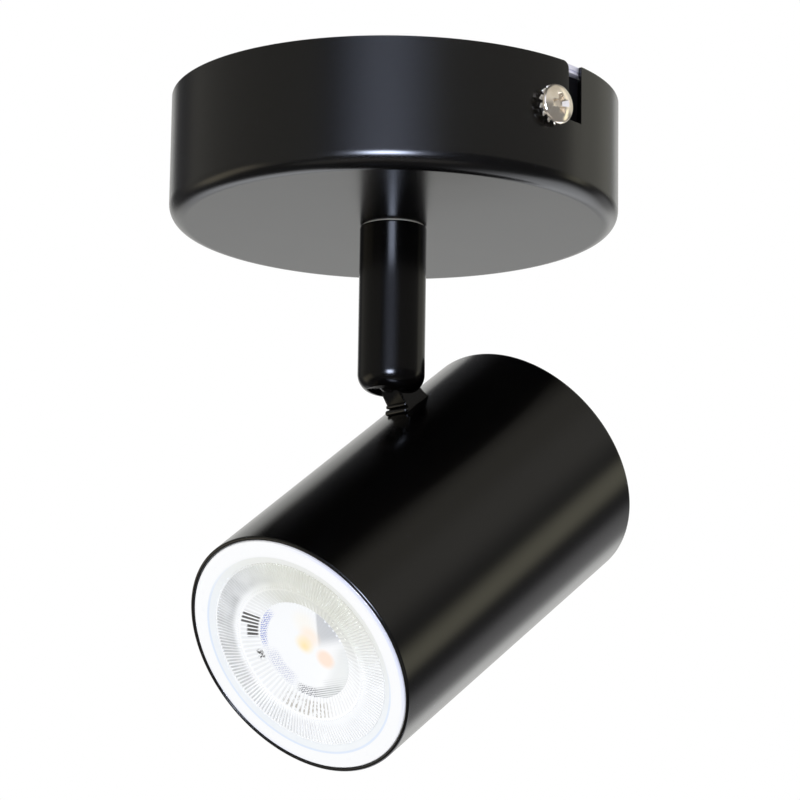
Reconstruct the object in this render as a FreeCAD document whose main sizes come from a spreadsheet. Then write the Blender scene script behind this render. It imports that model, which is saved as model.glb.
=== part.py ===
import FreeCAD, Part
import math
import os
import re
from collections import namedtuple
import Sketcher

# Ceiling spotlight, in millimetres. The origin is where the canopy's axis meets the ceiling,
# +Z points up and the light shines towards -Y. Depths below the ceiling are positive values.

SIZES = {
    # canopy and its side slots
    "canopy_r": 45.0,
    "canopy_height": 25.8,
    "canopy_wall": 1.2,
    "canopy_edge_round": 3.4,
    "slot_near": 5.0,
    "slot_width": 3.75,
    "slot_drop": 11.65,
    "slot_lead_round": 1.5,
    # ceiling bracket
    "strap_thick": 1.5,
    "strap_width": 22.0,
    "strap_gap": 0.35,
    "strap_lip_thick": 1.2,
    "strap_lip_drop": 2.2,
    "ear_width": 6.0,
    "ear_drop": 14.6,
    "ceiling_slot_spacing": 60.0,
    "ceiling_slot_length": 10.0,
    "ceiling_slot_r": 2.3,
    "cable_hole_r": 6.5,
    # side screws and their toothed washers
    "side_screw_drop": 10.1,
    "side_screw_r": 1.5,
    "side_screw_inside": 3.0,
    "side_head_r": 3.95,
    "side_head_high": 2.4,
    "side_head_crown": 0.5,
    "side_recess_long": 4.4,
    "side_recess_wide": 0.9,
    "side_recess_deep": 1.4,
    "tooth_washer_r": 4.2,
    "tooth_washer_thick": 0.7,
    "tooth_count": 16,
    "tooth_width": 0.55,
    "tooth_length": 0.9,
    # swivel: bush, stop, washers, nuts, nipple
    "nipple_r": 4.95,
    "nipple_bore_r": 3.2,
    "nipple_engaged": 9.0,
    "nipple_proud": 1.5,
    "swivel_running_gap": 0.05,
    "bush_barrel_r": 6.2,
    "bush_flange_r": 9.0,
    "bush_flange_thick": 1.2,
    "stem_gap": 0.2,
    "stop_washer_r": 9.0,
    "stop_washer_thick": 1.0,
    "stop_tab_reach": 13.5,
    "stop_tab_width": 4.0,
    "stop_pin_place": 12.0,
    "stop_pin_r": 1.25,
    "stop_pin_seat": 0.6,
    "stop_pin_high": 3.0,
    "spring_washer_r": 8.0,
    "spring_washer_thick": 0.5,
    "spring_washer_dish": 0.3,
    "nut_flats": 14.0,
    "nut_high": 3.5,
    "locknut_high": 2.5,
    # stem
    "stem_r": 6.7,
    "stem_length": 35.0,
    "stem_end_round": 3.9,
    "stem_top_chamfer": 0.4,
    "pivot_rise": 5.7,
    "neck_slot_width": 5.6,
    "neck_slot_front": 3.0,
    "neck_slot_notch": 1.6,
    "neck_slot_rise": 4.4,
    "trunnion_groove_gap": 0.05,
    "trunnion_end_gap": 0.2,
    # parts that press on the ball
    "ball_gap": 0.15,
    "bore_gap": 0.15,
    "cup_bore_r": 1.95,
    "cup_skirt_rise": 3.2,
    "cup_rise": 7.0,
    "disc_spring_r": 4.5,
    "disc_spring_bore_r": 2.3,
    "disc_spring_thick": 0.4,
    "disc_spring_dish": 0.3,
    "disc_spring_gap": 0.04,
    "disc_count": 3,
    "pressure_bore_r": 2.2,
    # leads
    "sleeve_r": 1.6,
    "sleeve_proud": 1.0,
    "sleeve_end_rise": 1.9,
    "lead_r": 0.7,
    "lead_bend_r": 2.6,
    "lead_pitch": 0.75,
    "lead_start_drop": 0.5,
    # terminal block and earth point
    "block_wall_gap": 0.72,
    "block_length": 29.0,
    "block_near": 5.0,
    "block_width": 11.0,
    "block_high": 12.0,
    "pole_pitch": 9.0,
    "pole_drop": 8.0,
    "clamp_r": 2.5,
    "clamp_bore_r": 1.3,
    "clamp_length": 9.0,
    "clamp_screw_r": 1.2,
    "clamp_screw_spread": 5.0,
    "clamp_screw_sunk": 1.0,
    "block_screw_r": 1.4,
    "block_screw_head_r": 2.6,
    "block_screw_head_high": 1.6,
    "earth_place": 16.0,
    "earth_side": 3.0,
    "earth_lead_rise_place": 5.0,
    "earth_screw_r": 2.0,
    "earth_head_r": 3.6,
    "earth_head_high": 2.2,
    "earth_washer_r": 4.2,
    "earth_washer_thick": 0.8,
    # head, tilted at rest
    "rest_swivel": 2.8,
    "rest_tilt": 36.9,
    "head_r": 25.9,
    "head_wall": 0.95,
    "head_length": 78.4,
    "head_front_round": 0.4,
    "head_rear_round": 0.6,
    "neck_from_rear": 22.9,
    "cap_thick": 1.5,
    "cap_collar": 6.0,
    "cap_collar_wall": 1.0,
    "cap_seam": 0.25,
    # knuckle
    "foot_drop": 8.0,
    "ball_r": 4.6,
    "neck_thick": 5.2,
    "neck_half_long": 2.8,
    "neck_edge_round": 0.7,
    "neck_flare_high": 2.6,
    "neck_flare_r": 4.0,
    "foot_upper_wide": 5.4,
    "foot_upper_high": 1.45,
    "foot_upper_long": 8.3,
    "foot_long": 9.2,
    "foot_wide": 6.6,
    "foot_high": 0.8,
    "foot_round": 0.3,
    "foot_corner_round": 0.7,
    "stud_r": 3.0,
    "stud_bore_r": 1.8,
    "stud_proud": 1.0,
    "trunnion_r": 1.25,
    "trunnion_inner": 2.6,
    "trunnion_reach": 5.7,
    "knuckle_washer_r": 5.5,
    "knuckle_washer_thick": 0.8,
    "knuckle_nut_flats": 10.0,
    "knuckle_nut_high": 3.0,
    # lampholder and its bracket
    "holder_bracket_thick": 1.0,
    "holder_bracket_wide": 14.0,
    "holder_bracket_foot": 15.0,
    "holder_bracket_below": 8.0,
    "bracket_lead_hole_r": 2.4,
    "holder_r": 14.5,
    "holder_half_flat": 9.0,
    "holder_length": 15.0,
    "holder_lamp_gap": 0.3,
    "holder_cavity_deep": 7.7,
    "holder_ledge": 3.5,
    "holder_cavity_gap": 0.35,
    "contact_thick": 0.7,
    "contact_half_wide": 1.4,
    "holder_screw_r": 1.5,
    "holder_screw_length": 5.0,
    "holder_screw_head_r": 2.7,
    "holder_screw_head_high": 1.8,
    "holder_screw_place": 5.2,
    "lead_loop_back": 4.5,
    # lamp
    "lamp_head_gap": 0.25,
    "lamp_rim_wide": 3.1,
    "lamp_lip_slope": 1.6,
    "lamp_lip_back": 0.85,
    "lamp_lip_thick": 1.15,
    "lamp_rim_deep": 4.5,
    "lamp_shoulder_inset": 0.9,
    "lamp_shoulder_deep": 5.4,
    "lamp_waist_r": 17.5,
    "lamp_waist_deep": 28.0,
    "lamp_base_r": 14.5,
    "lamp_neck_deep": 36.0,
    "lamp_wall": 1.5,
    "lamp_base_end": 46.7,
    "lamp_base_step": 3.5,
    "lamp_base_small_r": 11.5,
    "optic_flange_wide": 2.0,
    "optic_flange_thick": 1.5,
    "optic_flute_long": 6.0,
    "optic_ring_wide": 0.6,
    "optic_wall_run": 2.9,
    "optic_recess": 2.6,
    "optic_skin": 1.6,
    "spreader_deep": 10.0,
    "spreader_thick": 2.0,
    "spreader_gap": 0.05,
    "board_r": 12.0,
    "board_thick": 1.2,
    "chip_size": 2.8,
    "chip_thick": 0.7,
    "chip_ring_r": 5.7,
    "driver_half_wide": 10.5,
    "driver_start": 15.0,
    "driver_thick": 1.2,
    "driver_edge_clear": 1.0,
    "capacitor_r": 4.0,
    "capacitor_long": 9.0,
    "choke_half": 3.6,
    "choke_high": 6.5,
    "lamp_pin_place": 5.0,
    "lamp_pin_shank_r": 1.6,
    "lamp_pin_head_r": 2.5,
    "lamp_pin_head_long": 3.0,
    "lamp_pin_long": 7.0,
    "lamp_pin_inside": 2.5,
    "lamp_twist": 20.0,
    # cuts run past a face by this much
    "overrun": 1.0,
}

# Depths below the ceiling, from the floor of the canopy up to the end of the nipple
FLOOR = "(canopy_height - canopy_wall)"
BUSH_TOP = f"({FLOOR} - bush_flange_thick)"
STOP_TOP = f"({BUSH_TOP} - stop_washer_thick)"
SPRING_TOP = f"({STOP_TOP} - spring_washer_thick - spring_washer_dish)"
NUT_TOP = f"({SPRING_TOP} - nut_high)"
LOCKNUT_TOP = f"({NUT_TOP} - locknut_high)"
NIPPLE_TOP = f"({LOCKNUT_TOP} - nipple_proud)"
SLEEVE_TOP = f"({NIPPLE_TOP} - sleeve_proud)"

# Depths below the ceiling, down the stem
STEM_TOP = "(canopy_height + stem_gap)"
NIPPLE_END = f"({STEM_TOP} + nipple_engaged)"
STEM_END = f"({STEM_TOP} + stem_length)"
PIVOT = f"({STEM_END} - pivot_rise)"
SEAT_R = "(ball_r + ball_gap)"
CUP_R = f"({SEAT_R} - bore_gap)"
DISC_STEP = "(disc_spring_dish + disc_spring_thick + disc_spring_gap)"
DISC_STACK = f"(disc_count * {DISC_STEP})"

# Distances from the pivot towards the head's axis
HEAD_DROP = "(foot_drop + head_r)"
HEAD_INNER_R = "(head_r - head_wall)"
STRIP_INNER_R = f"({HEAD_INNER_R} - holder_bracket_thick)"
WASHER_SEAT = f"({HEAD_DROP} - sqrt({STRIP_INNER_R} ^ 2 - knuckle_washer_r ^ 2))"
NUT_SEAT = f"({WASHER_SEAT} + knuckle_washer_thick)"
STUD_END = f"({NUT_SEAT} + knuckle_nut_high + stud_proud)"

# Distances behind the head's front
NECK = "(head_length - neck_from_rear)"
BRACKET_END = f"({NECK} + holder_bracket_foot / 2)"
WEB_FACE = f"({BRACKET_END} - holder_bracket_thick)"
HOLDER_FACE = f"({WEB_FACE} - holder_length)"
LAMP_FRONT = f"({HOLDER_FACE} - holder_lamp_gap - lamp_base_end)"
HOLDER_SCREW_IN = "(holder_screw_length - holder_bracket_thick)"

# Frames of the stem, of the head at its pivot, of the tube and of the lamp, both with z back from the front
STEM = "placement(vector(0; 0; 0); rotation(vector(0; 0; 1); rest_swivel))"
HEAD = f"{STEM} * placement(vector(0; 0; -{PIVOT}); rotation(vector(1; 0; 0); rest_tilt))"
TUBE = f"{HEAD} * placement(vector(0; -{NECK}; -{HEAD_DROP}); rotation(vector(1; 0; 0); -90))"
LAMP = f"{TUBE} * placement(vector(0; 0; {LAMP_FRONT}); rotation(vector(0; 0; 1); 0))"

Round = namedtuple("Round", "across up radius")
WORD = re.compile(r"[a-z][a-z_0-9]*")
VOLUME_STEP = 1e-6
CLOSE = 1e-4

doc = FreeCAD.newDocument("Spotlight")
sheet = doc.addObject("Spreadsheet::Sheet", "Sizes")
for line, (alias, number) in enumerate(SIZES.items(), 1):
    sheet.set(f"A{line}", alias)
    sheet.set(f"B{line}", str(number))
    sheet.setAlias(f"B{line}", alias)
doc.recompute()

parts = []


def sheeted(text):
    """The expression with each size read from the sheet."""
    return WORD.sub(lambda word: f"Sizes.{word[0]}" if word[0] in SIZES else word[0], text)


def size(text):
    """The number that an expression in the sheet's names gives."""
    answer = sheet.evalExpression(sheeted(text).replace("Sizes.", ""))
    return float(getattr(answer, "Value", answer))


def bind(thing, path, text):
    thing.setExpression(path, sheeted(text))


# Building blocks

def body(label, frame=None):
    part = doc.addObject("PartDesign::Body", label)
    part.Label = label
    if frame:
        bind(part, "Placement", frame)
    parts.append(part)
    return part


def origin(part, role):
    return next(item for item in part.Origin.OriginFeatures if item.Role == role)


def arc_between(start, end, radius, side):
    """The arc from start to end, to the left (1) or to the right (-1) of its chord's middle."""
    chord = end.sub(start)
    left = FreeCAD.Vector(-chord.y, chord.x, 0).normalize()
    rise = math.sqrt(max(radius ** 2 - chord.Length ** 2 / 4, 0))
    centre = start.add(chord.multiply(0.5)).add(left.multiply(side * rise))
    first, last = (start, end) if side > 0 else (end, start)
    angles = [math.atan2(point.y - centre.y, point.x - centre.x) for point in (first, last)]
    return Part.ArcOfCircle(Part.Circle(centre, FreeCAD.Vector(0, 0, 1), radius), *angles)


def draw_round(drawing, outline):
    centre = FreeCAD.Vector(size(outline.across), size(outline.up), 0)
    ring = drawing.addGeometry(Part.Circle(centre, FreeCAD.Vector(0, 0, 1), size(outline.radius)), False)
    for kind, value, text in (("DistanceX", centre.x, outline.across), ("DistanceY", centre.y, outline.up)):
        place = drawing.addConstraint(Sketcher.Constraint(kind, -1, 1, ring, 3, value))
        bind(drawing, f"Constraints[{place}]", text)
    place = drawing.addConstraint(Sketcher.Constraint("Radius", ring, size(outline.radius)))
    bind(drawing, f"Constraints[{place}]", outline.radius)


def draw_outline(drawing, outline):
    """A closed outline. A corner is (across, up), or (across, up, radius, side) before an arc."""
    spots = [FreeCAD.Vector(size(corner[0]), size(corner[1]), 0) for corner in outline]
    edges = []
    for corner, start, end in zip(outline, spots, spots[1:] + spots[:1]):
        if len(corner) == 2:
            edges.append((drawing.addGeometry(Part.LineSegment(start, end), False), 1, 2))
            continue
        arc = drawing.addGeometry(arc_between(start, FreeCAD.Vector(end), size(corner[2]), corner[3]), False)
        edges.append((arc, 1, 2) if corner[3] > 0 else (arc, 2, 1))
    for corner, spot, edge, before in zip(outline, spots, edges, edges[-1:] + edges[:-1]):
        drawing.addConstraint(Sketcher.Constraint("Coincident", before[0], before[2], edge[0], edge[1]))
        for kind, value, text in (("DistanceX", spot.x, corner[0]), ("DistanceY", spot.y, corner[1])):
            place = drawing.addConstraint(Sketcher.Constraint(kind, -1, 1, edge[0], edge[1], value))
            bind(drawing, f"Constraints[{place}]", text)
        if len(corner) == 4:
            place = drawing.addConstraint(Sketcher.Constraint("Radius", edge[0], size(corner[2])))
            bind(drawing, f"Constraints[{place}]", corner[2])


def sketch(part, plane, outlines, offset=None):
    drawing = part.newObject("Sketcher::SketchObject", f"{part.Label}_outline")
    drawing.AttachmentSupport = [(origin(part, plane), "")]
    drawing.MapMode = "FlatFace"
    if offset:
        bind(drawing, "AttachmentOffset.Base.z", offset)
    for outline in outlines:
        if isinstance(outline, Round):
            draw_round(drawing, outline)
        else:
            draw_outline(drawing, outline)
    doc.recompute()
    return drawing


def turned(part, outline, plane="XZ_Plane", axis="V_Axis", kind="Revolution"):
    """Turn an outline about its sketch's own upright or level axis."""
    drawing = sketch(part, plane, [outline])
    feature = part.newObject(f"PartDesign::{kind}", f"{part.Label}_turned")
    feature.Profile = drawing
    feature.ReferenceAxis = (drawing, [axis])
    feature.Angle = 360
    doc.recompute()
    return feature


def padded(part, plane, outlines, length, offset=None, both=False, back=False):
    feature = part.newObject("PartDesign::Pad", f"{part.Label}_pad")
    feature.Profile = sketch(part, plane, outlines, offset)
    bind(feature, "Length", length)
    feature.Midplane = both
    feature.Reversed = back
    doc.recompute()
    return feature


def cut(part, plane, outlines, length, offset=None, both=False, back=False):
    before = part.Tip.Shape.Volume
    feature = part.newObject("PartDesign::Pocket", f"{part.Label}_cut")
    feature.Profile = sketch(part, plane, outlines, offset)
    bind(feature, "Length", length)
    feature.Midplane = both
    feature.Reversed = back
    doc.recompute()
    if feature.Shape.Volume > before - VOLUME_STEP:
        raise RuntimeError(f"a cut in {part.Label} removes nothing")
    return feature


def repeated(part, feature, count):
    """Repeat one feature about the part's upright axis."""
    ring = part.newObject("PartDesign::PolarPattern", f"{part.Label}_ring")
    ring.Originals = [feature]
    ring.Axis = (origin(part, "Z_Axis"), [""])
    ring.Angle = 360
    ring.Occurrences = count
    part.Tip = ring
    doc.recompute()


def twin(part):
    """Repeat the whole piece half a turn about the upright axis."""
    ring = part.newObject("PartDesign::PolarPattern", f"{part.Label}_twin")
    ring.TransformMode = "Whole shape"
    ring.Axis = (origin(part, "Z_Axis"), [""])
    ring.Angle = 360
    ring.Occurrences = 2
    part.Tip = ring
    doc.recompute()


def rounded(part, radius, names, kind="Fillet"):
    base = part.Tip
    feature = part.newObject(f"PartDesign::{kind}", f"{part.Label}_edge")
    feature.Base = (base, names)
    bind(feature, "Size" if kind == "Chamfer" else "Radius", radius)
    doc.recompute()
    return feature


def rims(part, radius, height):
    """Names of the level round edges of this radius at this height in the part's own frame."""
    names = []
    for place, edge in enumerate(part.Tip.Shape.Edges, 1):
        if edge.Degenerated or not isinstance(edge.Curve, Part.Circle):
            continue
        curve = edge.Curve
        if abs(abs(curve.Axis.z) - 1) > CLOSE:
            continue
        if abs(curve.Radius - size(radius)) < CLOSE and abs(curve.Center.z - size(height)) < CLOSE:
            names.append(f"Edge{place}")
    return names


def edges_where(part, test):
    """Names of the straight edges whose middle and direction pass a test."""
    names = []
    for place, edge in enumerate(part.Tip.Shape.Edges, 1):
        if edge.Degenerated or not isinstance(edge.Curve, Part.Line):
            continue
        middle = edge.CenterOfMass
        along = edge.Vertexes[-1].Point.sub(edge.Vertexes[0].Point).normalize()
        if test(middle, along):
            names.append(f"Edge{place}")
    return names


def oblong(low_across, high_across, low_up, high_up):
    return [(low_across, low_up), (high_across, low_up), (high_across, high_up), (low_across, high_up)]


def rounded_oblong(half_across, half_up, radius):
    """An oblong about the sketch's centre with rounded corners."""
    across, up = f"({half_across} - {radius})", f"({half_up} - {radius})"
    return [
        (across, f"-{half_up}", radius, 1), (half_across, f"-{up}"),
        (half_across, up, radius, 1), (across, half_up),
        (f"-{across}", half_up, radius, 1), (f"-{half_across}", up),
        (f"-{half_across}", f"-{up}", radius, 1), (f"-{across}", f"-{half_up}"),
    ]


def hexagon(flats):
    """A hexagon about the sketch's centre, measured across its flats."""
    reach = f"({flats} / 2 / cos(30))"
    return [(f"{reach} * cos({turn})", f"{reach} * sin({turn})") for turn in range(0, 360, 60)]


def slot_outline(centre, half_length, radius):
    """A round-ended slot along the first direction of its sketch."""
    left, right = f"{centre} - {half_length} + {radius}", f"{centre} + {half_length} - {radius}"
    return [
        (left, f"-{radius}"),
        (right, f"-{radius}", radius, 1),
        (f"{right} + {radius}", "0", radius, 1),
        (right, radius),
        (left, radius, radius, 1),
        (f"{left} - {radius}", "0", radius, 1),
    ]


def leads(label, routes, frame=None):
    """Insulated leads: round tubes along straight runs that tangent arcs join."""
    solids = []
    for route in routes:
        spots = [FreeCAD.Vector(*[size(text) for text in spot]) for spot in route]
        path = []
        start = spots[0]
        for before, spot, after in zip(spots, spots[1:], spots[2:]):
            inward = before.sub(spot).normalize()
            outward = after.sub(spot).normalize()
            opening = inward.getAngle(outward)
            reach = size("lead_bend_r") / math.tan(opening / 2)
            middle = FreeCAD.Vector(inward).add(outward).normalize()
            depth = size("lead_bend_r") / math.sin(opening / 2) - size("lead_bend_r")
            first = spot.add(FreeCAD.Vector(inward).multiply(reach))
            last = spot.add(FreeCAD.Vector(outward).multiply(reach))
            path.append(Part.LineSegment(start, first).toShape())
            path.append(Part.Arc(first, spot.add(middle.multiply(depth)), last).toShape())
            start = last
        path.append(Part.LineSegment(start, spots[-1]).toShape())
        spine = Part.Wire(path)
        section = Part.Wire([Part.Circle(spots[0], spots[1].sub(spots[0]), size("lead_r")).toShape()])
        solid = spine.makePipeShell([section], True, False)
        exact = spine.Length * math.pi * size("lead_r") ** 2
        print(label, "lead volume over section times length", round(solid.Volume / exact, 4))
        solids.append(solid)
    part = doc.addObject("Part::Feature", label)
    part.Label = label
    part.Shape = solids[0] if len(solids) == 1 else Part.Compound(solids)
    if frame:
        bind(part, "Placement", frame)
    parts.append(part)
    return part


# Canopy and what is fixed to the ceiling

def canopy_shell():
    part = body("canopy_shell")
    inner_r = "canopy_r - canopy_wall"
    turned(part, [
        ("bush_barrel_r", "-canopy_height"), ("canopy_r", "-canopy_height"), ("canopy_r", "0"),
        (inner_r, "0"), (inner_r, f"-{FLOOR}"), ("bush_barrel_r", f"-{FLOOR}"),
    ])
    rounded(part, "canopy_edge_round", rims(part, "canopy_r", "-canopy_height"))
    rounded(part, "canopy_edge_round - canopy_wall", rims(part, inner_r, f"-{FLOOR}"))
    leg_top = "-(slot_drop - slot_width)"
    half = "slot_width / 2"
    slot = cut(part, "YZ_Plane", [[
        ("slot_near + slot_width", "overrun"),
        ("slot_near - slot_lead_round", "overrun"),
        ("slot_near - slot_lead_round", "0", "slot_lead_round", -1),
        ("slot_near", "-slot_lead_round"),
        ("slot_near", leg_top),
        ("0", leg_top, half, 1),
        (f"-{half}", f"{leg_top} - {half}", half, 1),
        ("0", "-slot_drop"),
        ("slot_near + slot_width", "-slot_drop"),
    ]], "overrun + canopy_wall * 3", offset="canopy_r + overrun")
    repeated(part, slot, 2)
    cut(part, "XY_Plane", [Round("0", "stop_pin_place", "stop_pin_r")], "stop_pin_seat", offset=f"-{FLOOR}")


def ceiling_bracket():
    part = body("ceiling_bracket")
    reach = "(canopy_r - canopy_wall - strap_gap)"
    half_width = "strap_width / 2"
    corner = f"sqrt({reach} ^ 2 - strap_width ^ 2 / 4)"
    strap = [
        (f"-{corner}", f"-{half_width}"), (corner, f"-{half_width}", reach, 1),
        (corner, half_width), (f"-{corner}", half_width, reach, 1),
    ]
    padded(part, "XY_Plane", [strap], "strap_thick", back=True)
    lip_corner = f"sqrt(({reach} - strap_lip_thick) ^ 2 - strap_width ^ 2 / 4)"
    lip = [
        (lip_corner, f"-{half_width}"), (corner, f"-{half_width}", reach, 1), (corner, half_width),
        (lip_corner, half_width, f"{reach} - strap_lip_thick", -1),
    ]
    repeated(part, padded(part, "XY_Plane", [lip], "strap_lip_drop", back=True), 2)
    ear_face = f"sqrt({reach} ^ 2 - ear_width ^ 2 / 4)"
    ear = oblong(f"{ear_face} - strap_thick", ear_face, "-ear_width / 2", "ear_width / 2")
    repeated(part, padded(part, "XY_Plane", [ear], "ear_drop", back=True), 2)
    cut(part, "YZ_Plane", [Round("0", "-side_screw_drop", "side_screw_r")], "canopy_r * 2", both=True)
    place = "ceiling_slot_spacing / 2"
    half_long = "ceiling_slot_length / 2"
    cut(part, "XY_Plane", [
        Round("0", "0", "cable_hole_r"),
        slot_outline(place, half_long, "ceiling_slot_r"),
        slot_outline(f"-{place}", half_long, "ceiling_slot_r"),
        Round("-earth_place", "-earth_side", "earth_screw_r"),
        Round(BLOCK_SCREW_X, BLOCK_SCREW_Y, "block_screw_r"),
    ], "strap_thick * 2", both=True)


def side_screws():
    """One screw along +X, then its twin on the other side."""
    part = body("side_screws")
    seat = "(canopy_r + tooth_washer_thick)"
    inner = "(canopy_r - canopy_wall - side_screw_inside)"
    face = f"{seat} + side_head_high"
    padded(part, "YZ_Plane", [Round("0", "-side_screw_drop", "side_screw_r")],
           f"{seat} - {inner}", offset=inner)
    padded(part, "YZ_Plane", [Round("0", "-side_screw_drop", "side_head_r")],
           "side_head_high", offset=seat)
    edge = [f"Edge{place}" for place, rim in enumerate(part.Tip.Shape.Edges, 1)
            if isinstance(rim.Curve, Part.Circle) and abs(rim.Curve.Center.x - size(face)) < CLOSE]
    rounded(part, "side_head_crown", edge)
    arm, half = "side_recess_long / 2", "side_recess_wide / 2"
    drop = "-side_screw_drop"
    cross = [
        (f"-{half}", f"{drop} - {arm}"), (half, f"{drop} - {arm}"), (half, f"{drop} - {half}"),
        (arm, f"{drop} - {half}"), (arm, f"{drop} + {half}"), (half, f"{drop} + {half}"),
        (half, f"{drop} + {arm}"), (f"-{half}", f"{drop} + {arm}"), (f"-{half}", f"{drop} + {half}"),
        (f"-{arm}", f"{drop} + {half}"), (f"-{arm}", f"{drop} - {half}"), (f"-{half}", f"{drop} - {half}"),
    ]
    cut(part, "YZ_Plane", [cross], "side_recess_deep", offset=face)
    twin(part)


def side_tooth_washers():
    part = body("side_tooth_washers")
    drop = "-side_screw_drop"
    padded(part, "YZ_Plane", [Round("0", drop, "tooth_washer_r"), Round("0", drop, "side_screw_r")],
           "tooth_washer_thick", offset="canopy_r")
    count = int(size("tooth_count"))
    root = "(tooth_washer_r - tooth_length)"
    notches = []
    for place in range(count):
        turn = f"({place} * 360 / tooth_count)"
        along = (f"cos{turn}", f"sin{turn}")
        corners = []
        for reach, side in ((root, "-"), ("(tooth_washer_r + overrun)", "-"),
                            ("(tooth_washer_r + overrun)", "+"), (root, "+")):
            corners.append((f"{reach} * {along[0]} {side} -1 * tooth_width / 2 * {along[1]}",
                            f"{drop} + {reach} * {along[1]} {side} tooth_width / 2 * {along[0]}"))
        notches.append(corners)
    cut(part, "YZ_Plane", notches, "tooth_washer_thick * 3", offset="canopy_r", both=True)
    twin(part)


# The swivel

def swivel_bush():
    bore = "nipple_r + swivel_running_gap"
    turned(body("swivel_bush"), [
        (bore, f"-{STEM_TOP}"), ("bush_barrel_r", f"-{STEM_TOP}"), ("bush_barrel_r", f"-{FLOOR}"),
        ("bush_flange_r", f"-{FLOOR}"), ("bush_flange_r", f"-{BUSH_TOP}"), (bore, f"-{BUSH_TOP}"),
    ])


def swivel_stop_pin():
    padded(body("swivel_stop_pin"), "XY_Plane", [Round("0", "stop_pin_place", "stop_pin_r")],
           "stop_pin_seat + stop_pin_high", offset=f"-{FLOOR} - stop_pin_seat")


def stop_washer():
    part = body("stop_washer", STEM)
    padded(part, "XY_Plane", [Round("0", "0", "stop_washer_r")], "stop_washer_thick", offset=f"-{BUSH_TOP}")
    tab = oblong("-stop_tab_width / 2", "stop_tab_width / 2", "-stop_tab_reach", "0")
    padded(part, "XY_Plane", [tab], "stop_washer_thick", offset=f"-{BUSH_TOP}")
    cut(part, "XY_Plane", [Round("0", "0", "nipple_r")], "stop_washer_thick * 3", offset=f"-{BUSH_TOP}",
        both=True)


def spring_washer():
    low, high = f"-{STOP_TOP}", f"-{STOP_TOP} + spring_washer_dish"
    turned(body("spring_washer", STEM), [
        ("nipple_r", high), ("spring_washer_r", low), ("spring_washer_r", f"{low} + spring_washer_thick"),
        ("nipple_r", f"{high} + spring_washer_thick"),
    ])


def threaded_nipple():
    wall = oblong("nipple_bore_r", "nipple_r", f"-{NIPPLE_END}", f"-{NIPPLE_TOP}")
    turned(body("threaded_nipple", STEM), wall)


def nuts():
    for label, seat, high in (("nipple_nut", SPRING_TOP, "nut_high"),
                              ("nipple_locknut", NUT_TOP, "locknut_high")):
        outlines = [hexagon("nut_flats"), Round("0", "0", "nipple_r")]
        padded(body(label, STEM), "XY_Plane", outlines, high, offset=f"-{seat}")


# Stem

def stem_tube():
    """A tube whose bore ends in a round seat, with a slot for the neck and grooves for the pins."""
    part = body("stem_tube", STEM)
    turned(part, [
        ("0", f"-{STEM_END}"), ("stem_r", f"-{STEM_END}"), ("stem_r", f"-{STEM_TOP}"),
        ("nipple_r", f"-{STEM_TOP}"), ("nipple_r", f"-{NIPPLE_END}"), (SEAT_R, f"-{NIPPLE_END}"),
        (SEAT_R, f"-{PIVOT}", SEAT_R, -1), ("0", f"-{PIVOT} - {SEAT_R}"),
    ])
    rounded(part, "stem_end_round", rims(part, "stem_r", f"-{STEM_END}"))
    rounded(part, "stem_top_chamfer", rims(part, "stem_r", f"-{STEM_TOP}"), "Chamfer")
    outside = "(stem_r + overrun)"
    under = f"-{STEM_END} - overrun"
    notch = f"-{STEM_END} + neck_slot_notch"
    top = f"-{PIVOT} + neck_slot_rise"
    cut(part, "YZ_Plane", [[
        (f"-{outside}", under), (outside, under), (outside, top), ("-neck_slot_front", top),
        ("-neck_slot_front", notch), (f"-{outside}", notch),
    ]], "neck_slot_width", both=True)
    half = "(trunnion_r + trunnion_groove_gap)"
    above = f"-{STEM_TOP} + overrun"
    cut(part, "YZ_Plane", [[
        (half, above), (f"-{half}", above), (f"-{half}", f"-{PIVOT}", half, 1),
        ("0", f"-{PIVOT} - {half}", half, 1), (half, f"-{PIVOT}"),
    ]], "2 * (trunnion_reach + trunnion_end_gap)", both=True)


def friction_cup():
    def seat_rise(radius):
        return f"sqrt({SEAT_R} ^ 2 - ({radius}) ^ 2)"
    skirt_r = seat_rise("cup_skirt_rise")
    turned(body("friction_cup", STEM), [
        (skirt_r, f"-{PIVOT} + cup_skirt_rise"), (CUP_R, f"-{PIVOT} + cup_skirt_rise"),
        (CUP_R, f"-{PIVOT} + cup_rise"), ("cup_bore_r", f"-{PIVOT} + cup_rise"),
        ("cup_bore_r", f"-{PIVOT} + {seat_rise('cup_bore_r')}", SEAT_R, -1),
    ])


def disc_springs():
    """Dished discs, every second one turned over."""
    part = body("disc_springs", STEM)
    for place in range(int(size("disc_count"))):
        low = f"-{PIVOT} + cup_rise + {place} * {DISC_STEP}"
        inner, outer = f"{low} + disc_spring_dish", low
        if place % 2:
            inner, outer = outer, inner
        turned(part, [
            ("disc_spring_bore_r", inner), ("disc_spring_r", outer),
            ("disc_spring_r", f"{outer} + disc_spring_thick"),
            ("disc_spring_bore_r", f"{inner} + disc_spring_thick"),
        ])


def pressure_sleeve():
    low = f"-{PIVOT} + cup_rise + {DISC_STACK}"
    turned(body("pressure_sleeve", STEM), oblong("pressure_bore_r", CUP_R, low, f"-{NIPPLE_END}"))


def stem_lead_sleeve():
    low = f"-{PIVOT} + sleeve_end_rise"
    padded(body("stem_lead_sleeve", STEM), "XY_Plane", [Round("0", "0", "sleeve_r")],
           f"{PIVOT} - sleeve_end_rise - {SLEEVE_TOP}", offset=low)


# Terminal block, earth point and the leads in the canopy

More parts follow.
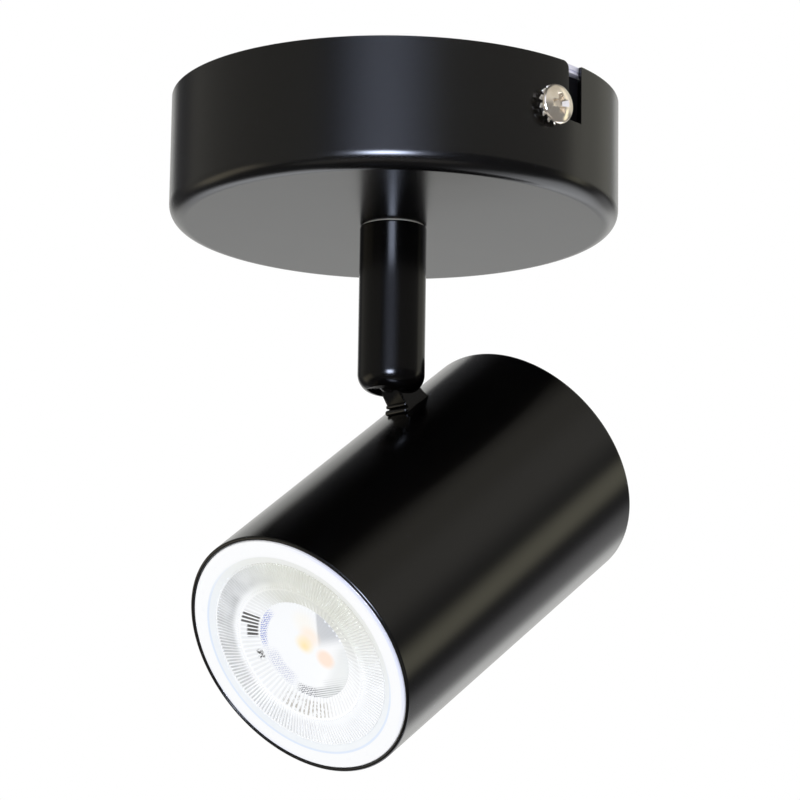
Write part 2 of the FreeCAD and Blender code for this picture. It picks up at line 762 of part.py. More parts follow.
BLOCK_MIDDLE = "(block_near + block_width / 2)"
BLOCK_REACH = "(canopy_r - canopy_wall - block_wall_gap)"
BLOCK_START = f"(sqrt({BLOCK_REACH} ^ 2 - (block_near + block_width) ^ 2) - block_length)"
POLES = [f"({BLOCK_START} + block_length / 2 + {step} * pole_pitch)" for step in (-1, 0, 1)]
BLOCK_SCREW_X = f"({POLES[1]} - pole_pitch / 2)"
BLOCK_SCREW_Y = "(block_near + block_screw_head_r + overrun)"
BLOCK_END = "(strap_thick + block_high)"
LEAD_START = f"({BLOCK_MIDDLE} - clamp_length / 2 + overrun)"


def clamp_screw_spots(radius):
    spread = "clamp_screw_spread / 2"
    return [Round(pole, f"{BLOCK_MIDDLE} {side} {spread}", radius) for pole in POLES for side in "-+"]


def terminal_block():
    part = body("terminal_block")
    outline = oblong(BLOCK_START, f"{BLOCK_START} + block_length", "block_near", "block_near + block_width")
    padded(part, "XY_Plane", [outline], "block_high", offset="-strap_thick", back=True)
    cut(part, "XZ_Plane", [Round(pole, "-pole_drop", "clamp_r") for pole in POLES],
        "block_width + 2 * overrun", offset=f"-{BLOCK_MIDDLE}", both=True)
    cut(part, "XY_Plane", clamp_screw_spots("clamp_screw_r"), f"{BLOCK_END} + overrun - pole_drop",
        offset=f"-{BLOCK_END} - overrun", back=True)
    cut(part, "XY_Plane", [Round(BLOCK_SCREW_X, BLOCK_SCREW_Y, "block_screw_r")],
        "block_high * 3", offset="-strap_thick", both=True)
    cut(part, "XY_Plane", [Round(BLOCK_SCREW_X, BLOCK_SCREW_Y, "block_screw_head_r")],
        "overrun + block_screw_head_high", offset=f"-{BLOCK_END} - overrun", back=True)


def terminal_clamps():
    part = body("terminal_clamps")
    outlines = [Round(pole, "-pole_drop", radius) for pole in POLES for radius in ("clamp_r", "clamp_bore_r")]
    padded(part, "XZ_Plane", outlines, "clamp_length", offset=f"-{BLOCK_MIDDLE}", both=True)
    cut(part, "XY_Plane", clamp_screw_spots("clamp_screw_r"), "clamp_r + overrun",
        offset="-pole_drop - clamp_r - overrun", back=True)


def terminal_screws():
    low = f"{BLOCK_END} - clamp_screw_sunk"
    padded(body("terminal_screws"), "XY_Plane", clamp_screw_spots("clamp_screw_r"),
           f"{low} - pole_drop - clamp_bore_r", offset=f"-({low})")


def terminal_fixing_screw():
    part = body("terminal_fixing_screw")
    seat = f"({BLOCK_END} - block_screw_head_high)"
    padded(part, "XY_Plane", [Round(BLOCK_SCREW_X, BLOCK_SCREW_Y, "block_screw_r")], seat, offset=f"-{seat}")
    padded(part, "XY_Plane", [Round(BLOCK_SCREW_X, BLOCK_SCREW_Y, "block_screw_head_r")],
           "block_screw_head_high", offset=f"-{seat}", back=True)


def earth_point():
    spot = ("-earth_place", "-earth_side")
    washer_low = "(strap_thick + earth_washer_thick)"
    washer = [Round(*spot, "earth_washer_r"), Round(*spot, "earth_screw_r")]
    padded(body("earth_washer"), "XY_Plane", washer, "earth_washer_thick", offset=f"-{washer_low}")
    part = body("earth_screw")
    padded(part, "XY_Plane", [Round(*spot, "earth_screw_r")], washer_low, offset=f"-{washer_low}")
    padded(part, "XY_Plane", [Round(*spot, "earth_head_r")], "earth_head_high", offset=f"-{washer_low}",
           back=True)


def canopy_leads():
    """Two leads from the terminal clamps to the stem's sleeve."""
    routes = []
    for pole, ahead in zip(POLES, ("lead_pitch", "-lead_pitch")):
        routes.append([
            (pole, LEAD_START, "-pole_drop"), (pole, ahead, "-pole_drop"),
            ("0", ahead, "-pole_drop"), ("0", ahead, f"-{SLEEVE_TOP}"),
        ])
    leads("canopy_leads", routes)


def earth_lead():
    """A lead from the last clamp that ends along the bracket at the earth washer."""
    along = "-(strap_thick + lead_r)"
    leads("earth_lead", [[
        (POLES[2], LEAD_START, "-pole_drop"), (POLES[2], "-earth_side", "-pole_drop"),
        ("-earth_lead_rise_place", "-earth_side", "-pole_drop"),
        ("-earth_lead_rise_place", "-earth_side", along),
        ("-(earth_place - earth_washer_r)", "-earth_side", along),
    ]])


# Head: knuckle, tube and lampholder

def knuckle():
    """Ball, flat-sided neck, foot on the tube and a hollow threaded stud through its wall."""
    part = body("knuckle", HEAD)
    deep = "(foot_drop + overrun)"
    flare = "(foot_drop - neck_flare_high)"
    wide = "(neck_half_long + neck_flare_r - sqrt(neck_flare_r ^ 2 - (neck_flare_high + overrun) ^ 2))"
    padded(part, "YZ_Plane", [[
        ("neck_half_long", "0"), ("-neck_half_long", "0"),
        ("-neck_half_long", f"-{flare}", "neck_flare_r", -1),
        (f"-{wide}", f"-{deep}"), (wide, f"-{deep}", "neck_flare_r", -1),
        ("neck_half_long", f"-{flare}"),
    ]], "neck_thick", both=True)
    rounded(part, "neck_edge_round", neck_corners(part))
    turned(part, [("0", "-ball_r", "ball_r", 1), ("ball_r", "0", "ball_r", 1), ("0", "ball_r")])
    for half_wide, half_long, high in (("foot_upper_wide / 2", "foot_upper_long / 2", "foot_upper_high"),
                                       ("foot_wide / 2", "foot_long / 2", "foot_high")):
        plate = rounded_oblong(f"({half_wide})", f"({half_long})", "foot_corner_round")
        padded(part, "XY_Plane", [plate], f"{high} + overrun", offset=f"-{deep}")
        front_and_back = edges_where(part, lambda middle, along: abs(along.x) > 1 - CLOSE
                                     and abs(abs(middle.y) - size(half_long)) < CLOSE
                                     and abs(middle.z + size(f"foot_drop - {high}")) < CLOSE)
        rounded(part, "foot_round", front_and_back)
    cut(part, "XZ_Plane", [Round("0", f"-{HEAD_DROP}", "head_r")], "foot_long * 2", both=True)
    padded(part, "XY_Plane", [Round("0", "0", "stud_r")], f"{STUD_END} - foot_drop + foot_high",
           offset=f"-{STUD_END}")
    cut(part, "XY_Plane", [Round("0", "0", "stud_bore_r")], f"{STUD_END} + overrun")
    channel = oblong("-stud_bore_r", "ball_r + overrun", "-stud_bore_r", "ball_r + overrun")
    cut(part, "YZ_Plane", [channel], "2 * stud_bore_r", both=True)
    pin_hole = cut(part, "YZ_Plane", [Round("0", "0", "trunnion_r")], "ball_r - trunnion_inner + overrun",
                   offset="ball_r + overrun")
    repeated(part, pin_hole, 2)


def neck_corners(part):
    """Names of the edges that run down the neck's four corners."""
    side = size("neck_thick / 2")
    names = []
    for place, edge in enumerate(part.Tip.Shape.Edges, 1):
        ends = [vertex.Point for vertex in edge.Vertexes]
        on_side = all(abs(abs(end.x) - side) < CLOSE for end in ends)
        if on_side and abs(ends[0].z - ends[1].z) > CLOSE:
            names.append(f"Edge{place}")
    return names


def trunnion_pins():
    part = body("trunnion_pins", HEAD)
    padded(part, "YZ_Plane", [Round("0", "0", "trunnion_r")], "2 * trunnion_reach", both=True)
    cut(part, "YZ_Plane", [Round("0", "0", "trunnion_r + overrun")], "2 * trunnion_inner", both=True)


def knuckle_fasteners():
    for label, outline, seat, high in (
            ("knuckle_washer", Round("0", "0", "knuckle_washer_r"), WASHER_SEAT, "knuckle_washer_thick"),
            ("knuckle_nut", hexagon("knuckle_nut_flats"), NUT_SEAT, "knuckle_nut_high")):
        padded(body(label, HEAD), "XY_Plane", [outline, Round("0", "0", "stud_r")], high,
               offset=f"-{seat}", back=True)


def head_tube():
    part = body("head_tube", TUBE)
    turned(part, oblong(HEAD_INNER_R, "head_r", "0", "head_length"))
    rounded(part, "head_front_round", rims(part, "head_r", "0"))
    rounded(part, "head_rear_round", rims(part, "head_r", "head_length"))
    cut(part, "XZ_Plane", [Round("0", NECK, "stud_r")], "head_r", offset="head_r + overrun")


def rear_cap():
    collar = f"{HEAD_INNER_R} - cap_collar_wall"
    part = body("rear_cap", TUBE)
    turned(part, [
        ("0", "head_length - cap_thick"), (collar, "head_length - cap_thick"),
        (collar, "head_length - cap_collar"), (HEAD_INNER_R, "head_length - cap_collar"),
        (HEAD_INNER_R, "head_length"), ("0", "head_length"),
    ])
    rounded(part, "cap_seam", rims(part, HEAD_INNER_R, "head_length"), "Chamfer")


HOLDER_SCREW_HOLES = [Round(f"{side}1 * holder_screw_place", "0", "holder_screw_r") for side in "-+"]


def holder_bracket():
    """A strip curved to the tube's wall under the knuckle's nut, with a web across the tube."""
    part = body("holder_bracket", TUBE)
    half = "holder_bracket_wide / 2"
    outer_edge = f"-sqrt({HEAD_INNER_R} ^ 2 - holder_bracket_wide ^ 2 / 4)"
    inner_edge = f"-sqrt({STRIP_INNER_R} ^ 2 - holder_bracket_wide ^ 2 / 4)"
    strip = [
        (f"-{half}", outer_edge, HEAD_INNER_R, 1), (half, outer_edge), (half, inner_edge, STRIP_INNER_R, -1),
        (f"-{half}", inner_edge),
    ]
    padded(part, "XY_Plane", [strip], "holder_bracket_foot", offset=f"{NECK} - holder_bracket_foot / 2")
    web = [
        (f"-{half}", outer_edge, HEAD_INNER_R, 1), (half, outer_edge),
        (half, "holder_bracket_below"), (f"-{half}", "holder_bracket_below"),
    ]
    padded(part, "XY_Plane", [web], "holder_bracket_thick", offset=WEB_FACE)
    cut(part, "XZ_Plane", [Round("0", NECK, "stud_r")], "head_r", offset="head_r + overrun")
    lead_hole = f"-({STRIP_INNER_R} - knuckle_washer_r - bracket_lead_hole_r)"
    cut(part, "XY_Plane", [
        Round("0", lead_hole, "bracket_lead_hole_r"), Round("0", "0", "bracket_lead_hole_r"),
        *HOLDER_SCREW_HOLES,
    ], "holder_bracket_thick * 3", offset=WEB_FACE, both=True)


def kidney(reach):
    """The curved slot that a round of this radius sweeps when the lamp twists."""
    inner, outer = f"(lamp_pin_place - {reach})", f"(lamp_pin_place + {reach})"

    def spot(radius, turn):
        return f"{radius} * cos({turn})", f"{radius} * sin({turn})"
    (start_x, start_y), (end_x, end_y) = spot("lamp_pin_place", "0"), spot("lamp_pin_place", "lamp_twist")
    return [
        (*spot(outer, "0"), outer, 1), (*spot(outer, "lamp_twist"), reach, 1),
        (f"{end_x} - {reach} * sin(lamp_twist)", f"{end_y} + {reach} * cos(lamp_twist)", reach, 1),
        (*spot(inner, "lamp_twist"), inner, -1), (*spot(inner, "0"), reach, 1),
        (start_x, f"{start_y} - {reach}", reach, 1),
    ]


def lampholder():
    """A block with flat sides and two curved cavities, in which the lamp's pins twist."""
    part = body("lampholder", TUBE)
    side = "sqrt(holder_r ^ 2 - holder_half_flat ^ 2)"
    padded(part, "XY_Plane", [[
        (f"-{side}", "-holder_half_flat"), (side, "-holder_half_flat", "holder_r", 1),
        (side, "holder_half_flat"), (f"-{side}", "holder_half_flat", "holder_r", 1),
    ]], f"{WEB_FACE} - {HOLDER_FACE}", offset=HOLDER_FACE)
    shank, head = "(lamp_pin_shank_r + holder_cavity_gap)", "(lamp_pin_head_r + holder_cavity_gap)"
    entry = Round("lamp_pin_place * cos(lamp_twist)", "lamp_pin_place * sin(lamp_twist)", head)
    for outline, deep, low in ((kidney(shank), "holder_ledge", "0"), (entry, "holder_ledge", "0"),
                               (kidney(head), "holder_cavity_deep - holder_ledge", "holder_ledge")):
        repeated(part, cut(part, "XY_Plane", [outline], deep, offset=f"{HOLDER_FACE} + {low}", back=True), 2)
    cut(part, "XY_Plane", HOLDER_SCREW_HOLES, f"{HOLDER_SCREW_IN} * 2", offset=WEB_FACE, both=True)


def holder_contacts():
    low = f"{HOLDER_FACE} + holder_cavity_deep - contact_thick"
    spots = []
    for side in "-+":
        middle = f"({side}1 * lamp_pin_place)"
        spots.append(oblong(f"{middle} - contact_half_wide", f"{middle} + contact_half_wide",
                            "-contact_half_wide", "contact_half_wide"))
    padded(body("holder_contacts", TUBE), "XY_Plane", spots, "contact_thick", offset=low)


def holder_screws():
    part = body("holder_screws", TUBE)
    head_end = f"{BRACKET_END} + holder_screw_head_high"
    for radius, low, high in (("holder_screw_r", f"{WEB_FACE} - {HOLDER_SCREW_IN}", BRACKET_END),
                              ("holder_screw_head_r", BRACKET_END, head_end)):
        spots = [Round(f"{side}1 * holder_screw_place", "0", radius) for side in "-+"]
        padded(part, "XY_Plane", spots, f"{high} - ({low})", offset=low)


def head_leads():
    """Two leads from the ball's bore, back through the bracket and into the holder's rear."""
    hole = f"(-({STRIP_INNER_R} - knuckle_washer_r - bracket_lead_hole_r))"
    back = f"({BRACKET_END} + lead_loop_back)"
    routes = []
    for side in "-+":
        across = f"{side}1 * lead_pitch"
        routes.append([
            (across, f"-({HEAD_DROP} - lead_start_drop)", NECK),
            (across, hole, NECK),
            (across, hole, back),
            (across, "0", back),
            (across, "0", WEB_FACE),
        ])
    leads("head_leads", routes, TUBE)


# Lamp

RIM_R = "(head_r - head_wall - lamp_head_gap)"
RIM_FLAT_R = f"({RIM_R} - lamp_rim_wide)"
LIP_R = f"({RIM_FLAT_R} - lamp_lip_slope)"
SHOULDER_R = f"({RIM_R} - lamp_shoulder_inset)"
INNER_NECK_R = "(lamp_base_r - lamp_wall)"
INNER_SHOULDER_R = f"({SHOULDER_R} - lamp_wall)"
INNER_WAIST_R = "(lamp_waist_r - lamp_wall)"
OPTIC_SEAT = "(lamp_lip_back + lamp_lip_thick)"
FLANGE_R = f"({LIP_R} + optic_flange_wide)"
RING_R = f"({LIP_R} - optic_flute_long)"
MOUTH_R = f"({RING_R} - optic_ring_wide)"
OPTIC_INNER_R = f"({MOUTH_R} - optic_wall_run)"


def wall_r(deep):
    """The housing's inner radius at a depth between its shoulder and its waist."""
    fall = f"({INNER_SHOULDER_R} - {INNER_WAIST_R}) / (lamp_waist_deep - lamp_shoulder_deep)"
    return f"({INNER_SHOULDER_R} - (({deep}) - lamp_shoulder_deep) * {fall})"


def lamp_housing():
    seat = f"({OPTIC_SEAT} + optic_flange_thick)"
    turned(body("lamp_housing", LAMP), [
        (LIP_R, "lamp_lip_back"), (RIM_FLAT_R, "0"), (RIM_R, "0"), (RIM_R, "lamp_rim_deep"),
        (SHOULDER_R, "lamp_shoulder_deep"), ("lamp_waist_r", "lamp_waist_deep"),
        ("lamp_base_r", "lamp_neck_deep"), (INNER_NECK_R, "lamp_neck_deep"),
        (INNER_WAIST_R, "lamp_waist_deep"), (INNER_SHOULDER_R, "lamp_shoulder_deep"),
        (FLANGE_R, seat), (FLANGE_R, OPTIC_SEAT), (LIP_R, OPTIC_SEAT),
    ])


def lamp_optic():
    """Clear front: flange, fluted ring, sloping wall and a sunk centre."""
    back = f"({OPTIC_SEAT} + optic_flange_thick)"
    sunk = "(lamp_lip_back + optic_recess)"
    turned(body("lamp_optic", LAMP), [
        ("0", sunk), (OPTIC_INNER_R, sunk), (MOUTH_R, "lamp_lip_back"), (LIP_R, "lamp_lip_back"),
        (LIP_R, OPTIC_SEAT), (FLANGE_R, OPTIC_SEAT), (FLANGE_R, back), (f"{RING_R} + optic_skin", back),
        (f"{OPTIC_INNER_R} + optic_skin", f"{sunk} + optic_skin"), ("0", f"{sunk} + optic_skin"),
    ])


def heat_spreader():
    back = "(spreader_deep + spreader_thick)"
    turned(body("heat_spreader", LAMP), [
        ("0", "spreader_deep"), (f"{wall_r('spreader_deep')} - spreader_gap", "spreader_deep"),
        (f"{wall_r(back)} - spreader_gap", back), ("0", back),
    ])


def led_board():
    padded(body("led_board", LAMP), "XY_Plane", [Round("0", "0", "board_r")], "board_thick",
           offset="spreader_deep", back=True)


def led_chips():
    part = body("led_chips", LAMP)
    half = "chip_size / 2"
    outline = oblong(f"chip_ring_r - {half}", f"chip_ring_r + {half}", f"-{half}", half)
    chip = padded(part, "XY_Plane", [outline], "chip_thick", offset="spreader_deep - board_thick", back=True)
    repeated(part, chip, 6)


def driver():
    """The driver's board in the lamp's neck, a capacitor and a choke on it."""
    end = "lamp_neck_deep + lamp_base_step - lamp_wall"
    board = oblong("-driver_half_wide", "driver_half_wide", "driver_start", end)
    padded(body("driver_board", LAMP), "XZ_Plane", [board], "driver_thick", back=True)
    part = body("driver_parts", LAMP)
    along = "(driver_start + driver_edge_clear)"
    padded(part, "XZ_Plane", [Round("0", f"{along} + capacitor_r", "capacitor_r")], "capacitor_long")
    choke = oblong("-choke_half", "choke_half", along, f"{along} + 2 * choke_half")
    padded(part, "XZ_Plane", [choke], "choke_high", offset="-driver_thick", back=True)


def lamp_base():
    step = "(lamp_neck_deep + lamp_base_step)"
    inner = "(lamp_base_small_r - lamp_wall)"
    part = body("lamp_base", LAMP)
    turned(part, [
        ("lamp_base_r", "lamp_neck_deep"), ("lamp_base_r", step), ("lamp_base_small_r", step),
        ("lamp_base_small_r", "lamp_base_end"), ("0", "lamp_base_end"),
        ("0", "lamp_base_end - lamp_wall"), (inner, "lamp_base_end - lamp_wall"),
        (inner, f"{step} - lamp_wall"), (INNER_NECK_R, f"{step} - lamp_wall"),
        (INNER_NECK_R, "lamp_neck_deep"),
    ])
    holes = [Round(f"{side}1 * lamp_pin_place", "0", "lamp_pin_shank_r") for side in "-+"]
    cut(part, "XY_Plane", holes, "lamp_wall * 3", offset="lamp_base_end", both=True)


def lamp_pins():
    part = body("lamp_pins", LAMP)
    end = "(lamp_base_end + lamp_pin_long)"
    for radius, low, high in (("lamp_pin_shank_r", "lamp_base_end - lamp_pin_inside", end),
                              ("lamp_pin_head_r", f"{end} - lamp_pin_head_long", end)):
        spots = [Round(f"{side}1 * lamp_pin_place", "0", radius) for side in "-+"]
        padded(part, "XY_Plane", spots, f"{high} - ({low})", offset=low)


for make in (canopy_shell, ceiling_bracket, side_screws, side_tooth_washers, swivel_bush,
             swivel_stop_pin, stop_washer, spring_washer, threaded_nipple, nuts, stem_tube,
             friction_cup, disc_springs, pressure_sleeve, stem_lead_sleeve, terminal_block,
             terminal_clamps, terminal_screws, terminal_fixing_screw, earth_point, canopy_leads,
             earth_lead, knuckle, trunnion_pins, knuckle_fasteners, head_tube, rear_cap,
             holder_bracket, lampholder, holder_contacts, holder_screws, head_leads, lamp_housing,
             lamp_optic, heat_spreader, led_board, led_chips, driver, lamp_base, lamp_pins):
    make()

doc.recompute()
for item in doc.Objects:
    if "Invalid" in item.State or "Error" in item.State:
        raise RuntimeError(f"{item.Name} is {item.State}")
os.makedirs("parts", exist_ok=True)
for part in parts:
    if part.Shape.isNull() or not part.Shape.isValid():
        raise RuntimeError(f"{part.Label} has no valid shape")
    print(part.Label, len(part.Shape.Solids), round(part.Shape.Volume, 2))
    part.Shape.exportStep(f"parts/{part.Label}.step")
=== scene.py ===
"""Ceiling spotlight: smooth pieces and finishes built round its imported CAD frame.

Sizes are in millimetres and are turned into metres where a mesh is made.
"""

import logging
import math
from dataclasses import dataclass
from enum import Enum
from typing import Callable, Optional, Sequence, Union

import bmesh
import bpy
from mathutils import Matrix, Vector


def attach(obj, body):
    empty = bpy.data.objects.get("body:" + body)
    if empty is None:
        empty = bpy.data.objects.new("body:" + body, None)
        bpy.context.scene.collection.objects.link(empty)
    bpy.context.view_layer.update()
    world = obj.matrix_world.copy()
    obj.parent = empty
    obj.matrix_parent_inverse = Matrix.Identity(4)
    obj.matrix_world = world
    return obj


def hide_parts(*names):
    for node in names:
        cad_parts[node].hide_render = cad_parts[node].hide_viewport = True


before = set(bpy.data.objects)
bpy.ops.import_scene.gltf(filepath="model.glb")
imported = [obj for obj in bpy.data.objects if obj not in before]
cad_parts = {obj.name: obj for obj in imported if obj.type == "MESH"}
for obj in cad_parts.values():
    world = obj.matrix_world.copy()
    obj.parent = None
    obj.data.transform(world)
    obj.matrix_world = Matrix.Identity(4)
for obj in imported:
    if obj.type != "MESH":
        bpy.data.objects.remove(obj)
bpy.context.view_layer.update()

MM = 0.001
MERGE = 2e-7
NEAR = 0.002
EDGE_NEAR = 0.01
FULL_TURN = 2 * math.pi
log = logging.getLogger("spotlight")

Spot = tuple[float, float]
Colour = tuple[float, float, float]


# Shader maths.

class Wire:
    """A shader socket whose arithmetic adds Math nodes."""

    def __init__(self, graph: "Graph", socket: bpy.types.NodeSocket) -> None:
        """Keep the socket and the graph that it belongs to."""
        self.graph = graph
        self.socket = socket

    def math(self, operation: str, *others: "Value") -> "Wire":
        """Add a Math node with this wire as its first input."""
        return self.graph.math(operation, self, *others)

    def __add__(self, other: "Value") -> "Wire":
        """Return self + other."""
        return self.math("ADD", other)

    def __radd__(self, other: "Value") -> "Wire":
        """Return other + self."""
        return self.graph.math("ADD", other, self)

    def __sub__(self, other: "Value") -> "Wire":
        """Return self - other."""
        return self.math("SUBTRACT", other)

    def __rsub__(self, other: "Value") -> "Wire":
        """Return other - self."""
        return self.graph.math("SUBTRACT", other, self)

    def __mul__(self, other: "Value") -> "Wire":
        """Return self * other."""
        return self.math("MULTIPLY", other)

    def __rmul__(self, other: "Value") -> "Wire":
        """Return other * self."""
        return self.graph.math("MULTIPLY", other, self)

    def __truediv__(self, other: "Value") -> "Wire":
        """Return self / other."""
        return self.math("DIVIDE", other)

    def __pow__(self, other: "Value") -> "Wire":
        """Return self ** other."""
        return self.math("POWER", other)

    def __abs__(self) -> "Wire":
        """Return the size of self."""
        return self.math("ABSOLUTE")

    def above(self, level: float, blur: float) -> "Wire":
        """A smooth step from 0 to 1, half done at the level and as wide as the blur."""
        values = {"Value": self, "From Min": level - blur / 2, "From Max": level + blur / 2}
        return self.graph.wire("ShaderNodeMapRange", {"interpolation_type": "SMOOTHSTEP"}, values)

    def within(self, low: float, high: float, blur: float) -> "Wire":
        """1 between two levels and 0 outside, with edges as wide as the blur."""
        return self.above(low, blur) * (1 - self.above(high, blur))

    def about(self, middle: float, width: float, edge: float) -> "Wire":
        """1 in a window round a middle turn in degrees, across the seam of a full turn too."""
        offset = (self - middle).math("WRAP", 180.0, -180.0)
        return 1 - abs(offset).above(width / 2, edge)


Value = Union[Wire, float]


class Graph:
    """A node tree that is built from nothing."""

    def __init__(self, tree: bpy.types.NodeTree) -> None:
        """Empty the tree."""
        self.tree = tree
        tree.nodes.clear()

    def node(self, kind: str, settings: Optional[dict] = None,
             values: Optional[dict] = None) -> bpy.types.Node:
        """Add one node.

        Args:
            kind: Blender's name of the node's type.
            settings: the node's own properties, and "stops" for a colour ramp.
            values: what goes to its sockets by name or place, wires or constants.
        Returns:
            The node.
        """
        node = self.tree.nodes.new(kind)
        for name, value in (settings or {}).items():
            if name == "stops":
                self._set_stops(node.color_ramp, value)
            else:
                setattr(node, name, value)
        for key, value in (values or {}).items():
            if isinstance(value, Wire):
                self.tree.links.new(value.socket, node.inputs[key])
            else:
                node.inputs[key].default_value = value
        return node

    def wire(self, kind: str, settings: Optional[dict] = None, values: Optional[dict] = None,
             output: Union[int, str] = 0) -> Wire:
        """Add one node and return one of its outputs, given by place or name."""
        return Wire(self, self.node(kind, settings, values).outputs[output])

    @staticmethod
    def _set_stops(ramp: bpy.types.ColorRamp, stops: Sequence[tuple[float, Colour]]) -> None:
        """Give a colour ramp its stops.

        Args:
            ramp: the ramp, with its two first stops.
            stops: places from 0 to 1 with their colours, in order.
        """
        while len(ramp.elements) < len(stops):
            ramp.elements.new(1.0)
        for element, (place, colour) in zip(ramp.elements, stops):
            element.position = place
            element.color = (*colour, 1.0)

    def math(self, operation: str, *values: Value) -> Wire:
        """Add one Math node with its inputs in order, wires or numbers."""
        return self.wire("ShaderNodeMath", {"operation": operation}, dict(enumerate(values)))

    def mix(self, share: Value, low: Union[Wire, Colour], high: Union[Wire, Colour],
            blend: str = "MIX") -> Wire:
        """Mix two colours.

        Args:
            share: 0 for the first colour and 1 for the second.
            low: the first colour.
            high: the second colour.
            blend: Blender's name of the way of mixing.
        Returns:
            The mixed colour.
        """
        def filled(colour: Union[Wire, Colour]) -> Union[Wire, tuple]:
            """The colour with its fourth number, if it is not a wire."""
            return colour if isinstance(colour, Wire) else (*colour, 1.0)
        settings = {"data_type": "RGBA", "blend_type": blend}
        return self.wire("ShaderNodeMix", settings, {0: share, 6: filled(low), 7: filled(high)}, output=2)

    def ramp(self, share: Wire, stops: Sequence[tuple[float, Colour]], shape: str = "LINEAR") -> Wire:
        """Turn a number into a colour.

        Args:
            share: the number, from 0 to 1.
            stops: places with their colours.
            shape: how the ramp runs between its stops.
        Returns:
            The colour.
        """
        node = self.node("ShaderNodeValToRGB", {"stops": stops}, {0: share})
        node.color_ramp.interpolation = shape
        return Wire(self, node.outputs[0])

    def place(self, about: Optional[Matrix] = None) -> Wire:
        """Object coordinates in millimetres.

        Args:
            about: the group's frame whose axes they follow, or None for the row frame.
        Returns:
            The coordinates.
        """
        spot = self.wire("ShaderNodeTexCoord", output="Object")
        values = {"Vector": spot, "Scale": (1000.0,) * 3}
        if about is not None:
            back = about.inverted()
            values["Rotation"] = tuple(back.to_euler("XYZ"))
            values["Location"] = tuple(back.to_translation() * 1000)
        return self.wire("ShaderNodeMapping", {"vector_type": "POINT"}, values)

    def parts(self, spot: Wire) -> tuple[Wire, ...]:
        """Split coordinates into their three numbers."""
        node = self.node("ShaderNodeSeparateXYZ", values={0: spot})
        return tuple(Wire(self, output) for output in node.outputs)

    def polar(self, spot: Wire) -> tuple[Wire, ...]:
        """Places about a group's axis.

        Args:
            spot: coordinates in that group's frame.
        Returns:
            The place across, the place up, the distance from the axis and the turn in degrees.
        """
        across, up, _ = self.parts(spot)
        radius = (across * across + up * up) ** 0.5
        return across, up, radius, up.math("ARCTAN2", across) * (180 / math.pi)

    def noise(self, spot: Wire, size: float, detail: float = 2.0, layers: float = 0.5) -> Wire:
        """Cloudy noise from 0 to 1, with clouds of about this size and finer layers in them."""
        values = {"Vector": spot, "Scale": 1 / size, "Detail": detail, "Roughness": layers}
        return self.wire("ShaderNodeTexNoise", values=values)

    def bump(self, height: Wire, deep: float) -> Wire:
        """A normal from a height between 0 and 1, where 1 is so many millimetres."""
        values = {"Strength": 1.0, "Distance": deep * MM, "Height": height}
        return self.wire("ShaderNodeBump", values=values, output="Normal")

    def principled(self, values: dict) -> Wire:
        """Add the Principled shader.

        Args:
            values: what goes to its sockets by name, constant colours as three numbers.
        Returns:
            The shader.
        """
        filled = {}
        for name, value in values.items():
            filled[name] = (*value, 1.0) if isinstance(value, tuple) else value
        return self.wire("ShaderNodeBsdfPrincipled", values=filled)


# Finishes.

class Finish:
    """A finish with its material slot. Its material is made once."""

    slot: str
    made: dict[str, bpy.types.Material] = {}

    def shade(self, graph: Graph) -> Wire:
        """Build the finish's nodes and return its shader."""
        raise NotImplementedError

    @property
    def label(self) -> str:
        """The material's name."""
        return self.slot

    def material(self) -> bpy.types.Material:
        """Make the finish's material, or find it again.

        Returns:
            The material.
        """
        if self.label not in Finish.made:
            made = bpy.data.materials.new(self.label)
            made.use_nodes = True
            graph = Graph(made.node_tree)
            graph.node("ShaderNodeOutputMaterial", values={"Surface": self.shade(graph)})
            Finish.made[self.label] = made
        return Finish.made[self.label]

    def dress(self, piece: bpy.types.Object) -> None:
        """Put the material in all of the piece's slots.

        Args:
            piece: the piece.
        """
        if not piece.material_slots:
            piece.data.materials.append(self.material())
        for holder in piece.material_slots:
            holder.material = self.material()


@dataclass(frozen=True)
class PowderCoat(Finish):
    """Satin powder coat: smooth, with a faint texture and a slightly uneven gloss."""

    slot: str = "black_coat"
    tone: str = ""
    colour: Colour = (0.0007, 0.0006, 0.0006)
    gloss_low: float = 0.17
    gloss_high: float = 0.20
    shine: float = 0.5
    grain: float = 0.35
    cloud: float = 9.0
    relief: float = 0.002
    lighter: float = 1.5

    def shade(self, graph: Graph) -> Wire:
        """Build the coat.

        Args:
            graph: the material's tree.
        Returns:
            The shader.
        """
        spot = graph.place()
        grain = graph.noise(spot, self.grain, 3.0)
        cloud = graph.noise(spot, self.cloud)
        colour = graph.mix(cloud, self.colour, tuple(self.lighter * share for share in self.colour))
        rough = self.gloss_low + (self.gloss_high - self.gloss_low) * cloud
        return graph.principled({"Base Color": colour, "Roughness": rough, "IOR": 1.5,
                                 "Specular IOR Level": self.shine,
                                 "Normal": graph.bump(grain, self.relief)})

    @property
    def label(self) -> str:
        """The material's name, with its tone."""
        return self.slot + self.tone


